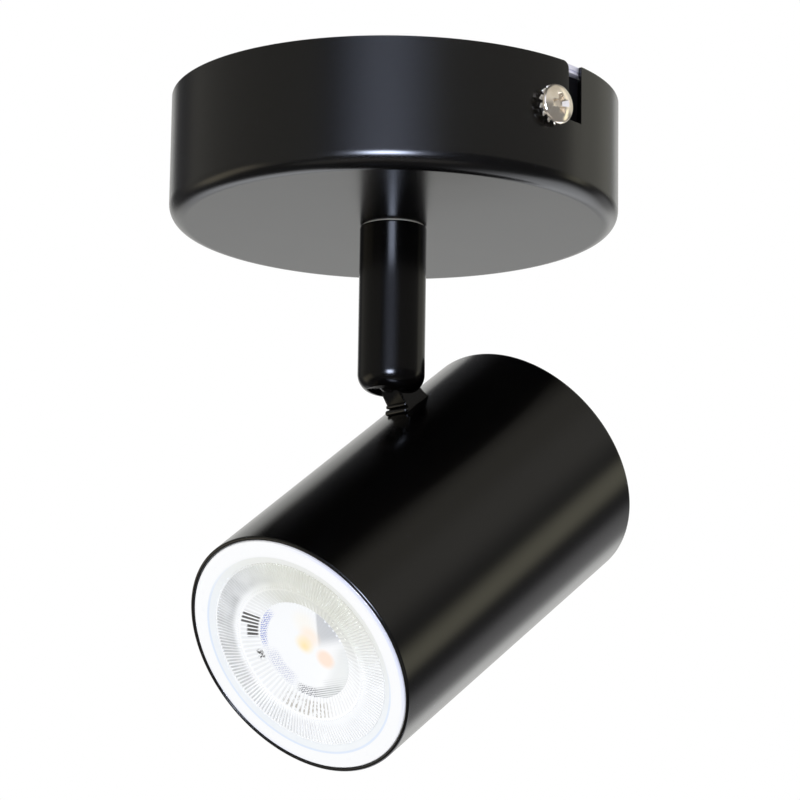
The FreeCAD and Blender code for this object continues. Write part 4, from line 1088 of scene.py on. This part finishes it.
@dataclass
class Head:
    """The knuckle, the tube and its rear cap."""

    radius: float = 25.9
    wall: float = 0.75
    length: float = 78.4
    front_round: float = 0.4
    inner_round: float = 0.15
    rear_round: float = 0.6
    cap_thick: float = 1.5
    cap_collar: float = 6.0
    cap_round: float = 0.8
    collar_wall: float = 1.0
    seam: Sequence[Spot] = ((0.0, 0.3), (0.12, 0.05), (0.3, 0.0))
    ball_r: float = 4.6
    neck_thick: float = 5.3
    neck_half: float = 2.8
    neck_round: float = 0.5
    flare_start: float = 5.4
    flare_r: float = 4.0
    flare_long: float = 4.6
    foot_drop: float = 8.0
    foot_end: float = 9.4
    foot_ahead: float = 0.7
    foot_slope: float = 0.6
    lean_low: float = 0.175
    lean_high: float = 0.385
    ridges: Sequence[tuple[float, float, float, float]] = ((2.85, 6.6, 0.4, 0.14), (3.5, 7.6, 0.6, 0.34))
    stud_r: float = 3.0
    stud_bore: float = 1.8
    stud_start: float = 8.25
    stud_end: float = 15.39
    spigot: Spot = (0.6, 1.0)

    def build(self) -> None:
        """Build and dress all pieces."""
        self._knuckle()
        self._tube()
        self._cap()

    def _neck(self) -> Bench:
        """The casting's side view, leaning in front and flared behind, drawn out to its thickness.

        Returns:
            The neck with its foot, in edit mode.
        """
        reach = math.degrees(math.asin((self.foot_end - self.flare_start) / self.flare_long))
        middle = (self.neck_half + self.flare_r, -self.flare_start)
        behind = arc(middle, self.flare_r, 180, 180 + reach, 8)
        front = self.lean_low - self.neck_half
        toe = front - self.foot_ahead
        outline = [(self.neck_half, 0.0), *behind, (behind[-1][0], -self.foot_end),
                   (toe, -self.foot_end), (toe, -self.foot_drop), (front, self.foot_slope - self.foot_drop),
                   (-self.neck_half - self.lean_high, 0.0)]
        side = self.neck_thick / 2
        bench = Bench("knuckle_casting").prism([(-side, y, z) for y, z in outline], (self.neck_thick, 0, 0))

        def on_neck(edge: bmesh.types.BMEdge) -> bool:
            """Whether an edge lies in one flank and reaches above the flare.

            Args:
                edge: the edge.
            Returns:
                True if it does.
            """
            x, other = (vert.co.x / MM for vert in edge.verts)
            high = max(vert.co.z for vert in edge.verts) / MM
            in_flank = abs(x - other) < EDGE_NEAR and abs(abs(x) - side) < EDGE_NEAR
            return in_flank and high > -self.flare_start - EDGE_NEAR

        bench.pick("edges", on_neck)
        bpy.ops.mesh.bevel(offset=self.neck_round * MM, segments=5, affect="EDGES", clamp_overlap=False)
        return bench

    def _ridge(self, ahead: float, down: float, size: float, proud: float) -> Bench:
        """One round-ended ridge across the neck's front.

        Args:
            ahead: how far in front of the ball's middle it lies.
            down: how far below the ball's middle it lies.
            size: its radius.
            proud: how far its ends stand out of the neck's sides.
        Returns:
            The ridge.
        """
        end = self.neck_thick / 2 + proud
        tip = arc((0.0, end - size), size, 90, 0, 6)
        foot = arc((0.0, size - end), size, 0, -90, 6)
        ridge = Bench("ridge").turn([*tip, *foot], 28, closed=False)
        lying = Matrix.Rotation(math.pi / 2, 4, "Y")
        return ridge.settle(Matrix.Translation((0, -ahead * MM, -down * MM)) @ lying)

    def _knuckle(self) -> None:
        """Ball, neck with its ridges, foot that lies on the tube, and the stud through its wall."""
        bench = self._neck()
        for ridge in self.ridges:
            bench.boolean(self._ridge(*ridge), "UNION")
        Bench.rest()
        bpy.ops.mesh.primitive_uv_sphere_add(segments=64, ring_count=40, radius=self.ball_r * MM)
        ball = Bench("ball")
        ball.piece = bpy.context.object
        bench.boolean(ball, "UNION")
        under = self._rod("tube_cutter", self.radius, -9, 9, 240)
        lying = Matrix.Rotation(math.pi / 2, 4, "X")
        under.settle(Matrix.Translation((0, 0, -FRAMES.head_drop * MM)) @ lying)
        bench.boolean(under)
        bore, top = self.stud_bore, -self.stud_start
        spigot_r, spigot_top = self.stud_r - self.spigot[0], top + self.spigot[1]
        stud = Bench("stud").turn(
            [(bore, -self.stud_end), (self.stud_r, -self.stud_end), (self.stud_r, top), (spigot_r, top),
             (spigot_r, spigot_top), (bore, spigot_top)], 48)
        bench.boolean(stud, "UNION")
        bench.soften(0.12, 2, 38)
        bench.smooth(32).settle(FRAMES.head)
        coat = PowderCoat(tone="_knuckle", gloss_low=0.12, gloss_high=0.15, shine=0.42)
        bench.hand_over("head", coat, "knuckle")

    @staticmethod
    def _rod(name: str, radius: float, low: float, high: float, steps: int) -> Bench:
        """A plain rod to cut with, between two heights."""
        return Bench(name).turn([(0, low), (radius, low), (radius, high), (0, high)], steps, closed=False)

    def _tube(self) -> None:
        """The drawn tube, its front lip turned and its wall thin."""
        inner = self.radius - self.wall
        bench = Bench("head_barrel").turn(
            [(inner, 0), (self.radius, 0), (self.radius, self.length), (inner, self.length)], 240,
            [(self.radius, 0, self.front_round, 5), (self.radius, self.length, self.rear_round, 6),
             (inner, 0, self.inner_round, 3)])
        hole = self._rod("stud_hole", self.stud_r, 0, 12, 48)
        lying = Matrix.Rotation(math.pi / 2, 4, "X")
        hole.settle(Matrix.Translation((0, -20 * MM, FRAMES.neck * MM)) @ lying)
        bench.boolean(hole)
        bench.smooth(32).settle(FRAMES.tube)
        bench.hand_over("head", PowderCoat(), "head_tube")

    def _cap(self) -> None:
        """The pressed rear cap, set in the tube with a fine seam round it."""
        inner = self.radius - self.wall
        end, collar = self.length, inner - self.collar_wall
        plate = end - self.cap_thick
        seam = [(inner - back, end - down) for back, down in self.seam]
        bench = Bench("rear_plate").turn(
            [(0, plate), (collar, plate), (collar, end - self.cap_collar), (inner, end - self.cap_collar),
             *seam, (0, end)], 200, [(collar, plate, self.cap_round, 4)], closed=False)
        bench.smooth(35).settle(FRAMES.tube)
        bench.hand_over("head", PowderCoat(), "rear_cap")


# Lamp.

@dataclass(frozen=True)
class GlowPatch:
    """A soft round patch of painted light on the lamp's front, where a chip shows through it."""

    x: float
    y: float
    radius: float
    edge: float
    share: float
    colour: Colour


@dataclass(frozen=True)
class GlintRow:
    """A row of painted glints: bright points along an arc of the lamp's front, between two turns in
    degrees.
    """

    radius: float
    first: float
    last: float
    count: int
    size: float


@dataclass(frozen=True)
class Patch:
    """A window of turns in degrees and a band of radii on the lamp's front, with soft edges."""

    turn: float
    width: float
    edge: float
    near: float
    blur: float
    far: float = 20.0

    def on(self, places: tuple[Wire, ...]) -> Wire:
        """1 in the patch and 0 outside it."""
        _, _, radius, turn = places
        return turn.about(self.turn, self.width, self.edge) * radius.within(self.near, self.far, self.blur)


@dataclass(frozen=True)
class ClearOptic(Finish):
    """The lamp's clear front, with painted shade on its flutes, ribs and sunk disc, painted reflections on
    its ribs and dots, and painted light in a washed-out window, on the chips, in glints and as a faint
    emission.

    Each entry of dots is a patch, a share and a colour. Each entry of lines is its left and right
    ends and their blur, its lower end and its blur, and a share.
    """

    slot: str = "clear_optic"
    clear: Colour = (0.95, 0.965, 0.985)
    washed_cream: Colour = (0.74, 0.75, 0.69)
    flute_shade_tint: Colour = (0.20, 0.21, 0.22)
    rib_shade_tint: Colour = (0.3, 0.3, 0.3)
    tick_reflection_tint: Colour = (0.025, 0.02, 0.016)
    low_reflection_tint: Colour = (0.26, 0.23, 0.17)
    line_tint: Colour = (0.16, 0.17, 0.20)
    wedge_shade_tint: Colour = (0.50, 0.52, 0.56)
    top_shade_tint: Colour = (0.76, 0.79, 0.80)
    flutes: int = 168
    ribs: int = 84
    dot_pitch: float = 0.45
    flute_in: float = 15.0
    flute_out: float = 19.75
    mouth_r: float = 14.2
    disc_r: float = 10.5
    wash: tuple[float, float, float] = (-48, 100, 60)
    # painted reflections: windows where the ribs show dark ticks and specks that mirror the tube
    thin_ticks: Patch = Patch(-135.5, 13, 3, 10.9, 0.4)
    thick_ticks: Patch = Patch(-149.5, 14, 3, 10.9, 0.4, 12.9)
    specks: Patch = Patch(-176, 10, 3, 10.8, 0.4, 11.9)
    low_ticks: Patch = Patch(114, 48, 16, 11.3, 0.6)
    # painted reflections: patches where the dots take blue and dark tints
    dots: Sequence[tuple[Patch, float, Colour]] = (
        (Patch(-140, 50, 16, 9.0, 0.9), 0.85, (0.12, 0.18, 0.62)),
        (Patch(162, 50, 20, 7.0, 1.4, 10.2), 0.45, (0.22, 0.25, 0.50)),
        (Patch(116, 26, 10, 8.4, 0.9), 0.85, (0.05, 0.05, 0.09)),
    )
    lines: Sequence[tuple[float, ...]] = ((-2.5, 5.0, 2.0, 8.3, 0.9, 0.75), (1.0, 9.0, 2.0, 7.0, 1.5, 0.25))
    # painted light: bright yellow spots where the chips show through the front
    chip_glows: Sequence[GlowPatch] = (
        GlowPatch(3.2, -5.6, 2.2, 3.4, 0.3, (1.0, 0.92, 0.76)),
        GlowPatch(3.0, -2.6, 2.0, 2.4, 0.55, (1.0, 0.82, 0.66)),
        GlowPatch(4.3, 2.5, 1.9, 1.5, 0.75, (1.0, 0.74, 0.58)),
        GlowPatch(0.8, -1.3, 1.8, 1.8, 0.75, (1.0, 0.84, 0.56)),
        GlowPatch(0.6, -0.9, 0.7, 1.8, 0.6, (1.0, 0.76, 0.30)),
    )
    # painted highlights: rows of glints on the front
    glint_rows: Sequence[GlintRow] = (
        GlintRow(10.25, -30.6, -4.7, 5, 0.24),
        GlintRow(13.0, -24.0, -6.5, 4, 0.22),
        GlintRow(19.0, -34.5, -11.3, 8, 0.14),
    )
    # painted light: the whole front shines faintly with its own colour
    painted_glow: float = 0.1
    glint_glow: float = 0.5

    def shade(self, graph: Graph) -> Wire:
        """Build the optic's nodes in the tube's frame.

        Args:
            graph: the material's tree.
        Returns:
            The shader.
        """
        spot = graph.place(FRAMES.tube)
        places = graph.polar(spot)
        cloud, grit = graph.noise(spot, 4.0, 3.0), graph.noise(spot, 0.5)
        # painted light: a window at the top right of the front, outside the sunk disc, washed out to a pale
        # cream
        washed = places[3].about(*self.wash)
        front = places[2].above(self.disc_r + 0.1, 0.3)
        colour = graph.mix(washed * front * (0.75 + 0.4 * cloud), self.clear, self.washed_cream)
        colour = self._fluted(graph, places, colour, washed, cloud)
        colour = self._ribbed(graph, places, colour, grit)
        colour = self._dotted(graph, spot, places, colour)
        colour = self._lit(graph, places, colour)
        # painted light: a faint emission all over, and a brighter one on the painted glints
        light = self.painted_glow + self.glint_glow * self._painted_glints(places)
        return graph.principled({"Base Color": colour, "Roughness": 0.12, "IOR": 1.49,
                                 "Alpha": 0.94 + 0.06 * front,
                                 "Emission Color": graph.mix(light, (0.0, 0.0, 0.0), colour),
                                 "Emission Strength": 1.0})

    def _fluted(self, graph: Graph, places: tuple[Wire, ...], colour: Wire, washed: Wire,
                cloud: Wire) -> Wire:
        """Paint shade on one side of each flute.

        Args:
            graph: the tree.
            places: places about the tube's axis.
            colour: the colour so far.
            washed: 1 where light washes the flutes out.
            cloud: slow unevenness.
        Returns:
            The colour with the flutes' painted shade.
        """
        _, _, radius, turn = places
        band = radius.above(self.flute_in + 0.6, 1.8) * (1 - radius.above(self.flute_out, 0.3))
        side = (turn * (self.flutes * math.pi / 180)).math("SINE").above(0.1, 1.4)
        strong = (0.58 - 0.46 * washed) * (0.25 + 1.2 * cloud)
        # painted shade: one side of each flute darker, and weaker where light washes the flutes out
        return graph.mix(band * side * strong, colour, self.flute_shade_tint)

    def _ribbed(self, graph: Graph, places: tuple[Wire, ...], colour: Wire, grit: Wire) -> Wire:
        """Paint shade on the ribs of the sloping wall, with dark ticks as painted reflections where they
        mirror the tube.

        Args:
            graph: the tree.
            places: places about the tube's axis.
            colour: the colour so far.
            grit: fine unevenness.
        Returns:
            The colour with the ribs' painted shade and reflections.
        """
        _, _, radius, turn = places
        wall = radius.within(self.disc_r + 0.15, self.mouth_r - 0.1, 0.3)
        rib = (turn * (self.ribs * math.pi / 180)).math("SINE").above(0.0, 1.2)
        # painted shade: one side of each rib greyer
        colour = graph.mix(wall * rib * 0.16, colour, self.rib_shade_tint)
        # painted reflections of the tube: dark ticks and specks
        ticks = (self.thin_ticks.on(places) * rib.above(0.7, 0.3)
                 + self.thick_ticks.on(places) * rib.above(0.25, 0.4)
                 + self.specks.on(places) * grit.above(0.5, 0.12))
        colour = graph.mix(wall * ticks.math("MINIMUM", 1.0) * 0.9, colour, self.tick_reflection_tint)
        # painted reflections: darker ticks in the low window
        low = self.low_ticks.on(places) * rib.above(0.4, 0.5) * grit.above(0.47, 0.2)
        return graph.mix(wall * low * 0.6, colour, self.low_reflection_tint)

    def _dotted(self, graph: Graph, spot: Wire, places: tuple[Wire, ...], colour: Wire) -> Wire:
        """Add the fine dots and lines of the sunk disc, strongest at its rim; painted reflections tint the
        dots in patches.

        Args:
            graph: the tree.
            spot: coordinates in the tube's frame.
            places: places about the tube's axis.
            colour: the colour so far.
        Returns:
            The colour with dots.
        """
        across, up, radius, _ = places
        disc = 1 - radius.above(self.disc_r, 0.15)
        values = {"Vector": spot, "Scale": 1 / self.dot_pitch, "Randomness": 0.3}
        gap = graph.wire("ShaderNodeTexVoronoi", {"voronoi_dimensions": "2D"}, values)
        dot = disc * (1 - gap.above(0.36, 0.24))
        # the dot pattern stands for the disc's fine structure; its tint in each patch is a painted
        # reflection
        for patch, share, tint in self.dots:
            colour = graph.mix(dot * patch.on(places) * share, colour, tint)
        line = disc * (up * (FULL_TURN / self.dot_pitch)).math("SINE").above(0.1, 1.2)
        lined: Value = 0.0
        for left, right, soft, low, blur, share in self.lines:
            lined = across.within(left, right, soft) * up.above(low, blur) * share + lined
        return graph.mix(line * lined.math("MINIMUM", 1.0), colour, self.line_tint)

    def _lit(self, graph: Graph, places: tuple[Wire, ...], colour: Wire) -> Wire:
        """Add painted shade to the disc as a grey wedge and a greyer top right, and the chips' painted
        light.

        Args:
            graph: the tree.
            places: places about the tube's axis.
            colour: the colour so far.
        Returns:
            The colour with the painted shade and the chips.
        """
        across, up, radius, _ = places
        disc = 1 - radius.above(self.disc_r, 0.15)
        # painted shade: a grey wedge low on the right of the disc
        wedge = disc * (across + 0.49 * up).above(3.9, 0.7) * (1 - up.above(-0.9, 3.0))
        colour = graph.mix(wedge * 0.75, colour, self.wedge_shade_tint)
        # painted shade: the disc greyer towards its top right
        top_shade = disc * (across + up).above(9.5, 4.0) * up.above(0.5, 3.0)
        colour = graph.mix(top_shade * 0.6, colour, self.top_shade_tint)
        # painted light: the chips' spots mixed into the front's colour
        for blob in self.chip_glows:
            away = ((across - blob.x) ** 2.0 + (up - blob.y) ** 2.0) ** 0.5
            colour = graph.mix((1 - away.above(blob.radius, blob.edge)) * blob.share, colour, blob.colour)
        return colour

    def _painted_glints(self, places: tuple[Wire, ...]) -> Wire:
        """Where the rows of painted glints lie.

        Args:
            places: places about the tube's axis.
        Returns:
            1 on the points and 0 elsewhere.
        """
        _, _, radius, turn = places
        glinting: Value = 0.0
        for row in self.glint_rows:
            pitch = (row.last - row.first) / (row.count - 1)
            along = (turn - row.first).math("WRAP", pitch / 2, -pitch / 2) * (row.radius * math.pi / 180)
            away = (along ** 2.0 + (radius - row.radius) ** 2.0) ** 0.5
            window = turn.about((row.first + row.last) / 2, row.last - row.first + pitch, 0.5)
            glinting = (1 - away.above(row.size, 0.16)) * window + glinting
        return glinting


@dataclass(frozen=True)
class RimWhite(Finish):
    """The lamp's moulded white rim, with painted shade on its slope, painted warm light at its top right,
    painted bluish reflections at its seam and edges, and faint painted light as emission.
    """

    slot: str = "lamp_white"
    white: Colour = (0.96, 0.97, 0.985)
    slope_shade_tint: Colour = (0.80, 0.85, 0.90)
    warm_light_tint: Colour = (0.83, 0.84, 0.80)
    seam_reflection_tint: Colour = (0.62, 0.74, 0.95)
    edge_reflection_tint: Colour = (0.62, 0.68, 1.0)
    slope_r: float = 21.5
    edge_r: float = 24.2

    def shade(self, graph: Graph) -> Wire:
        """Build the rim's nodes in the tube's frame.

        Args:
            graph: the material's tree.
        Returns:
            The shader.
        """
        spot = graph.place(FRAMES.tube)
        _, _, radius, turn = graph.polar(spot)
        cloud = graph.noise(spot, 7.0)
        slope = 1 - radius.above(self.slope_r, 0.4)
        # painted shade: the sloping lip greyer and bluer than the flat rim
        colour = graph.mix(slope * (0.3 + 0.5 * cloud), self.white, self.slope_shade_tint)
        # painted light: the slope warmer at its top right, where light falls on it
        colour = graph.mix(slope * turn.about(-50, 130, 60) * 0.8, colour, self.warm_light_tint)
        # painted reflection: a bluish line where the slope meets the flat rim, away from the top right
        seam = radius.within(self.slope_r - 0.15, self.slope_r + 0.3, 0.2) * (1 - turn.about(-50, 150, 50))
        colour = graph.mix(seam * 0.6, colour, self.seam_reflection_tint)
        # painted reflections: bluish tints near the outer edge on two sides
        edge = radius.above(self.edge_r, 0.6) * (turn.about(-10, 90, 50) + turn.about(150, 60, 40) * 0.4)
        colour = graph.mix(edge * 0.55, colour, self.edge_reflection_tint)
        # painted light: the rim shines faintly with its own colour
        return graph.principled({"Base Color": colour, "Roughness": 0.32 + 0.06 * cloud,
                                 "Emission Color": colour, "Emission Strength": 0.05,
                                 "Normal": graph.bump(graph.noise(spot, 0.8, 3.0), 0.003)})

    @property
    def label(self) -> str:
        """The material's name."""
        return self.slot + "_rim"


@dataclass
class Lamp:
    """The reflector lamp: white housing, clear front, board and chips."""

    rim_r: float = 25.05
    rim_flat_r: float = 21.6
    lip_r: float = 20.0
    lip_back: float = 0.4
    lip_thick: float = 1.6
    rim_deep: float = 4.5
    shoulder_r: float = 23.8
    shoulder_deep: float = 5.4
    waist_r: float = 17.5
    waist_deep: float = 28.0
    base_r: float = 14.5
    neck_deep: float = 36.0
    wall: float = 1.5
    flange_r: float = 22.0
    flange_thick: float = 1.5
    recess: float = 1.7
    skin: float = 1.6
    flute_deep: float = 0.25
    rib_share: float = 0.975
    optic: ClearOptic = ClearOptic()

    def build(self) -> None:
        """Build and dress all pieces."""
        self._housing()
        self._front()

    def _housing(self) -> None:
        """The white shell: flat rim, sloping lip, shoulder, waist and neck."""
        seat = self.lip_back + self.lip_thick
        back = seat + self.flange_thick
        wall = self.wall
        bench = Bench("lamp_shell").turn(
            [(self.lip_r, self.lip_back), (self.rim_flat_r, 0), (self.rim_r, 0),
             (self.rim_r, self.rim_deep), (self.shoulder_r, self.shoulder_deep),
             (self.waist_r, self.waist_deep),
             (self.base_r, self.neck_deep), (self.base_r - wall, self.neck_deep),
             (self.waist_r - wall, self.waist_deep), (self.shoulder_r - wall, self.shoulder_deep),
             (self.flange_r, back), (self.flange_r, seat), (self.lip_r, seat)], 200,
            [(self.rim_r, 0, 0.5, 5), (self.rim_flat_r, 0, 0.35, 4), (self.lip_r, self.lip_back, 0.2, 3)])
        bench.smooth(35).settle(FRAMES.tube)
        bench.hand_over("lamp", RimWhite(), "lamp_housing")

    def _front(self) -> None:
        """The front: a ring of flutes, a ribbed sloping wall and a sunk centre."""
        optic, skin = self.optic, self.skin
        seat, flush = self.lip_back + self.lip_thick, self.lip_back
        sunk = flush + self.recess
        back = seat + self.flange_thick
        count = optic.flutes * 2
        bench = Bench("lamp_front").turn(
            [(self.lip_r, seat), (self.lip_r, flush), (optic.flute_out, flush), (optic.flute_in, flush),
             (optic.mouth_r + 0.3, flush), (optic.mouth_r, flush + 0.1), (optic.disc_r, sunk), (0, sunk),
             (0, sunk + skin), (optic.disc_r + skin, sunk + skin), (optic.mouth_r + skin, back),
             (self.flange_r, back), (self.flange_r, seat), (self.lip_r, seat)], count, closed=False)

        def step(vert: bmesh.types.BMVert) -> int:
            """The vertex's step round the axis."""
            return round(math.atan2(vert.co.y, vert.co.x) / FULL_TURN * count)

        def on_front(vert: bmesh.types.BMVert, low: float, high: float) -> bool:
            """Whether the vertex is on the front, between two radii."""
            return vert.co.z / MM < sunk + 0.01 and low - 0.05 < vert.co.xy.length / MM < high + 0.05

        fluted = (optic.flute_in, optic.flute_out)
        bench.pick("verts", lambda vert: step(vert) % 2 and on_front(vert, *fluted))
        bpy.ops.transform.translate(value=(0, 0, self.flute_deep * MM))
        ribbed = (optic.disc_r, optic.mouth_r)
        bench.pick("verts", lambda vert: step(vert) % 4 == 0 and on_front(vert, *ribbed))
        bpy.ops.transform.resize(value=(self.rib_share, self.rib_share, 1), center_override=(0, 0, 0))
        bench.smooth(25, weighted=False).settle(FRAMES.tube)
        bench.hand_over("lamp", optic, "lamp_optic")


# Carried-over CAD nodes.

CARRIED: dict[Finish, Sequence[str]] = {
    Metal.ZINC.value: ("swivel_stop_pin", "terminal_screws", "terminal_fixing_screw", "earth_washer",
                       "threaded_nipple", "stop_washer", "nipple_nut", "nipple_locknut", "pressure_sleeve",
                       "knuckle_washer", "knuckle_nut", "holder_bracket", "holder_screws"),
    Metal.SPRING.value: ("spring_washer", "disc_springs", "trunnion_pins"),
    Metal.BRASS.value: ("terminal_clamps", "earth_screw", "friction_cup"),
    Metal.NICKEL.value: ("holder_contacts", "lamp_pins"),
    Metal.ALUMINIUM.value: ("heat_spreader",),
    Plastic.NYLON.value: ("swivel_bush",),
    Plastic.CERAMIC.value: ("lampholder",),
    Plastic.WHITE.value: ("lamp_base",),
    Plastic.BOARD_WHITE.value: ("led_board",),
    Plastic.PHOSPHOR.value: ("led_chips",),
    Plastic.BOARD_GREEN.value: ("driver_board",),
    Plastic.BLACK.value: ("driver_parts",),
    Woven(): ("stem_lead_sleeve",),
    Striped("lead_brown", (0.10, 0.035, 0.012), (0.11, 0.04, 0.015)): ("canopy_leads", "head_leads"),
    Striped("lead_green", (0.03, 0.22, 0.05), (0.62, 0.55, 0.06)): ("earth_lead",),
}


# Studio.

@dataclass(frozen=True)
class SoftBox:
    """One soft light or pale wall round the fixture, as its gloss shows it.

    Its turn is in degrees about the upright axis from the camera's side, positive to the right, and
    its lift is in degrees above the horizon.
    """

    turn: float
    lift: float
    wide: float
    high: float
    edge: float
    colour: Colour


@dataclass
class Studio:
    """The camera, the pale floor and the soft light round the fixture."""

    lens: float = 186.33
    sensor: float = 36.0
    clip: Spot = (0.05, 100.0)
    distance: float = 822.34
    elevation: float = 12.704
    azimuth: float = 47.8
    roll: float = 0.8473
    target: tuple[float, float, float] = (1.2434, 1.3713, -61.352)
    floor_drop: float = 1300.0
    floor_size: float = 60000.0
    boxes: Sequence[SoftBox] = (
        SoftBox(0, -30, 400, 140, 14, (0.11, 0.11, 0.115)),        # what little comes from all sides
        SoftBox(-82, 12, 92, 92, 16, (0.26, 0.25, 0.215)),         # left wall
        SoftBox(66, 39, 100, 48, 20, (0.43, 0.41, 0.36)),          # right wall, high
        SoftBox(124, 24, 44, 34, 10, (0.46, 0.45, 0.38)),          # right wall, far
        SoftBox(178, 13, 54, 66, 12, (0.81, 0.81, 0.78)),          # backdrop
        SoftBox(146, -17, 38, 32, 12, (0.48, 0.48, 0.48)),         # foot of the backdrop
        SoftBox(159, -44, 104, 32, 24, (2.2, 2.25, 2.35)),         # lit floor behind
        SoftBox(104, -1, 13, 20, 9, (1.05, 1.0, 0.74)),            # warm strip
        SoftBox(-4, -13, 20, 16, 10, (42.0, 47.0, 60.0)),          # lamp beside the camera
        SoftBox(-5, 14, 36, 40, 32, (0.98, 1.08, 1.38)),           # pale wall behind the camera
        SoftBox(-97, -22, 44, 18, 12, (0.85, 0.74, 0.52)),         # warm lamp, low on the left
        SoftBox(-10, -58, 120, 20, 14, (0.40, 0.38, 0.34)),        # floor in front
    )

    def build(self) -> None:
        """Set up the camera, the world and the floor."""
        self._camera()
        self._world()
        self._floor()

    def _camera(self) -> None:
        """The camera at the photograph's place."""
        data = bpy.data.cameras.new("camera")
        data.lens = self.lens
        data.sensor_width = self.sensor
        data.clip_start, data.clip_end = self.clip
        camera = bpy.data.objects.new("camera", data)
        bpy.context.scene.collection.objects.link(camera)
        lift = math.radians(self.elevation)
        turned = Matrix.Rotation(math.radians(self.azimuth), 3, "Z")
        ahead = turned @ Vector((0, math.cos(lift), math.sin(lift)))
        right = turned @ Vector((1, 0, 0))
        up = turned @ Vector((0, -math.sin(lift), math.cos(lift)))
        roll = math.radians(self.roll)
        tipped_right = math.cos(roll) * right + math.sin(roll) * up
        tipped_up = -math.sin(roll) * right + math.cos(roll) * up
        spot = (Vector(self.target) - self.distance * ahead) * MM
        axes = Matrix((tipped_right, tipped_up, -ahead)).transposed().to_4x4()
        camera.matrix_world = Matrix.Translation(spot) @ axes
        bpy.context.scene.camera = camera

    def _world(self) -> None:
        """White where the camera looks, and a soft studio in what the fixture reflects."""
        world = bpy.data.worlds.new("studio")
        world.use_nodes = True
        bpy.context.scene.world = world
        graph = Graph(world.node_tree)
        x, y, z = graph.parts(graph.wire("ShaderNodeTexCoord", output="Generated"))
        aim = math.radians(self.azimuth - 90)
        ahead = x * math.cos(aim) + y * math.sin(aim)
        side = y * math.cos(aim) - x * math.sin(aim)
        turn = side.math("ARCTAN2", ahead) * (180 / math.pi)
        lift = z.math("ARCSINE") * (180 / math.pi)
        light: Union[Wire, Colour] = (0.0, 0.0, 0.0)
        for box in self.boxes:
            share = turn.about(box.turn, box.wide, box.edge) * lift.about(box.lift, box.high, box.edge)
            light = graph.mix(share, light, box.colour, "ADD")
        rays = graph.node("ShaderNodeLightPath").outputs
        plain = Wire(graph, rays["Is Camera Ray"])
        for kind in ("Is Transmission Ray", "Is Diffuse Ray"):
            plain = plain.math("MAXIMUM", Wire(graph, rays[kind]))
        reflected = graph.wire("ShaderNodeBackground", values={"Color": light})
        backdrop = graph.wire("ShaderNodeBackground", values={"Color": (1.0, 1.0, 1.0, 1.0)})
        shown = graph.wire("ShaderNodeMixShader", values={0: plain, 1: reflected, 2: backdrop})
        graph.node("ShaderNodeOutputWorld", values={"Surface": shown})
        world.cycles.sampling_method = "NONE"

    def _floor(self) -> None:
        """A plain pale floor far below the fixture."""
        Bench.rest()
        bpy.ops.mesh.primitive_plane_add(size=self.floor_size * MM, location=(0, 0, -self.floor_drop * MM))
        floor = bpy.context.object
        floor.name = "floor"
        bpy.ops.object.transform_apply(location=True, rotation=True, scale=True)
        Plastic.FLOOR.value.dress(floor)
        floor.visible_glossy = False
        floor.visible_diffuse = False
        floor.visible_transmission = False


def main() -> None:
    """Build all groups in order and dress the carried-over nodes."""
    logging.basicConfig(level=logging.INFO, format="%(name)s: %(message)s")
    bpy.context.scene.view_settings.view_transform = "Standard"
    Canopy().build()
    Stem().build()
    Head().build()
    Lamp().build()
    for finish, nodes in CARRIED.items():
        for node in nodes:
            finish.dress(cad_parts[node])
            log.info("%s: carried over", node)
    Studio().build()


if __name__ == "__main__":
    main()
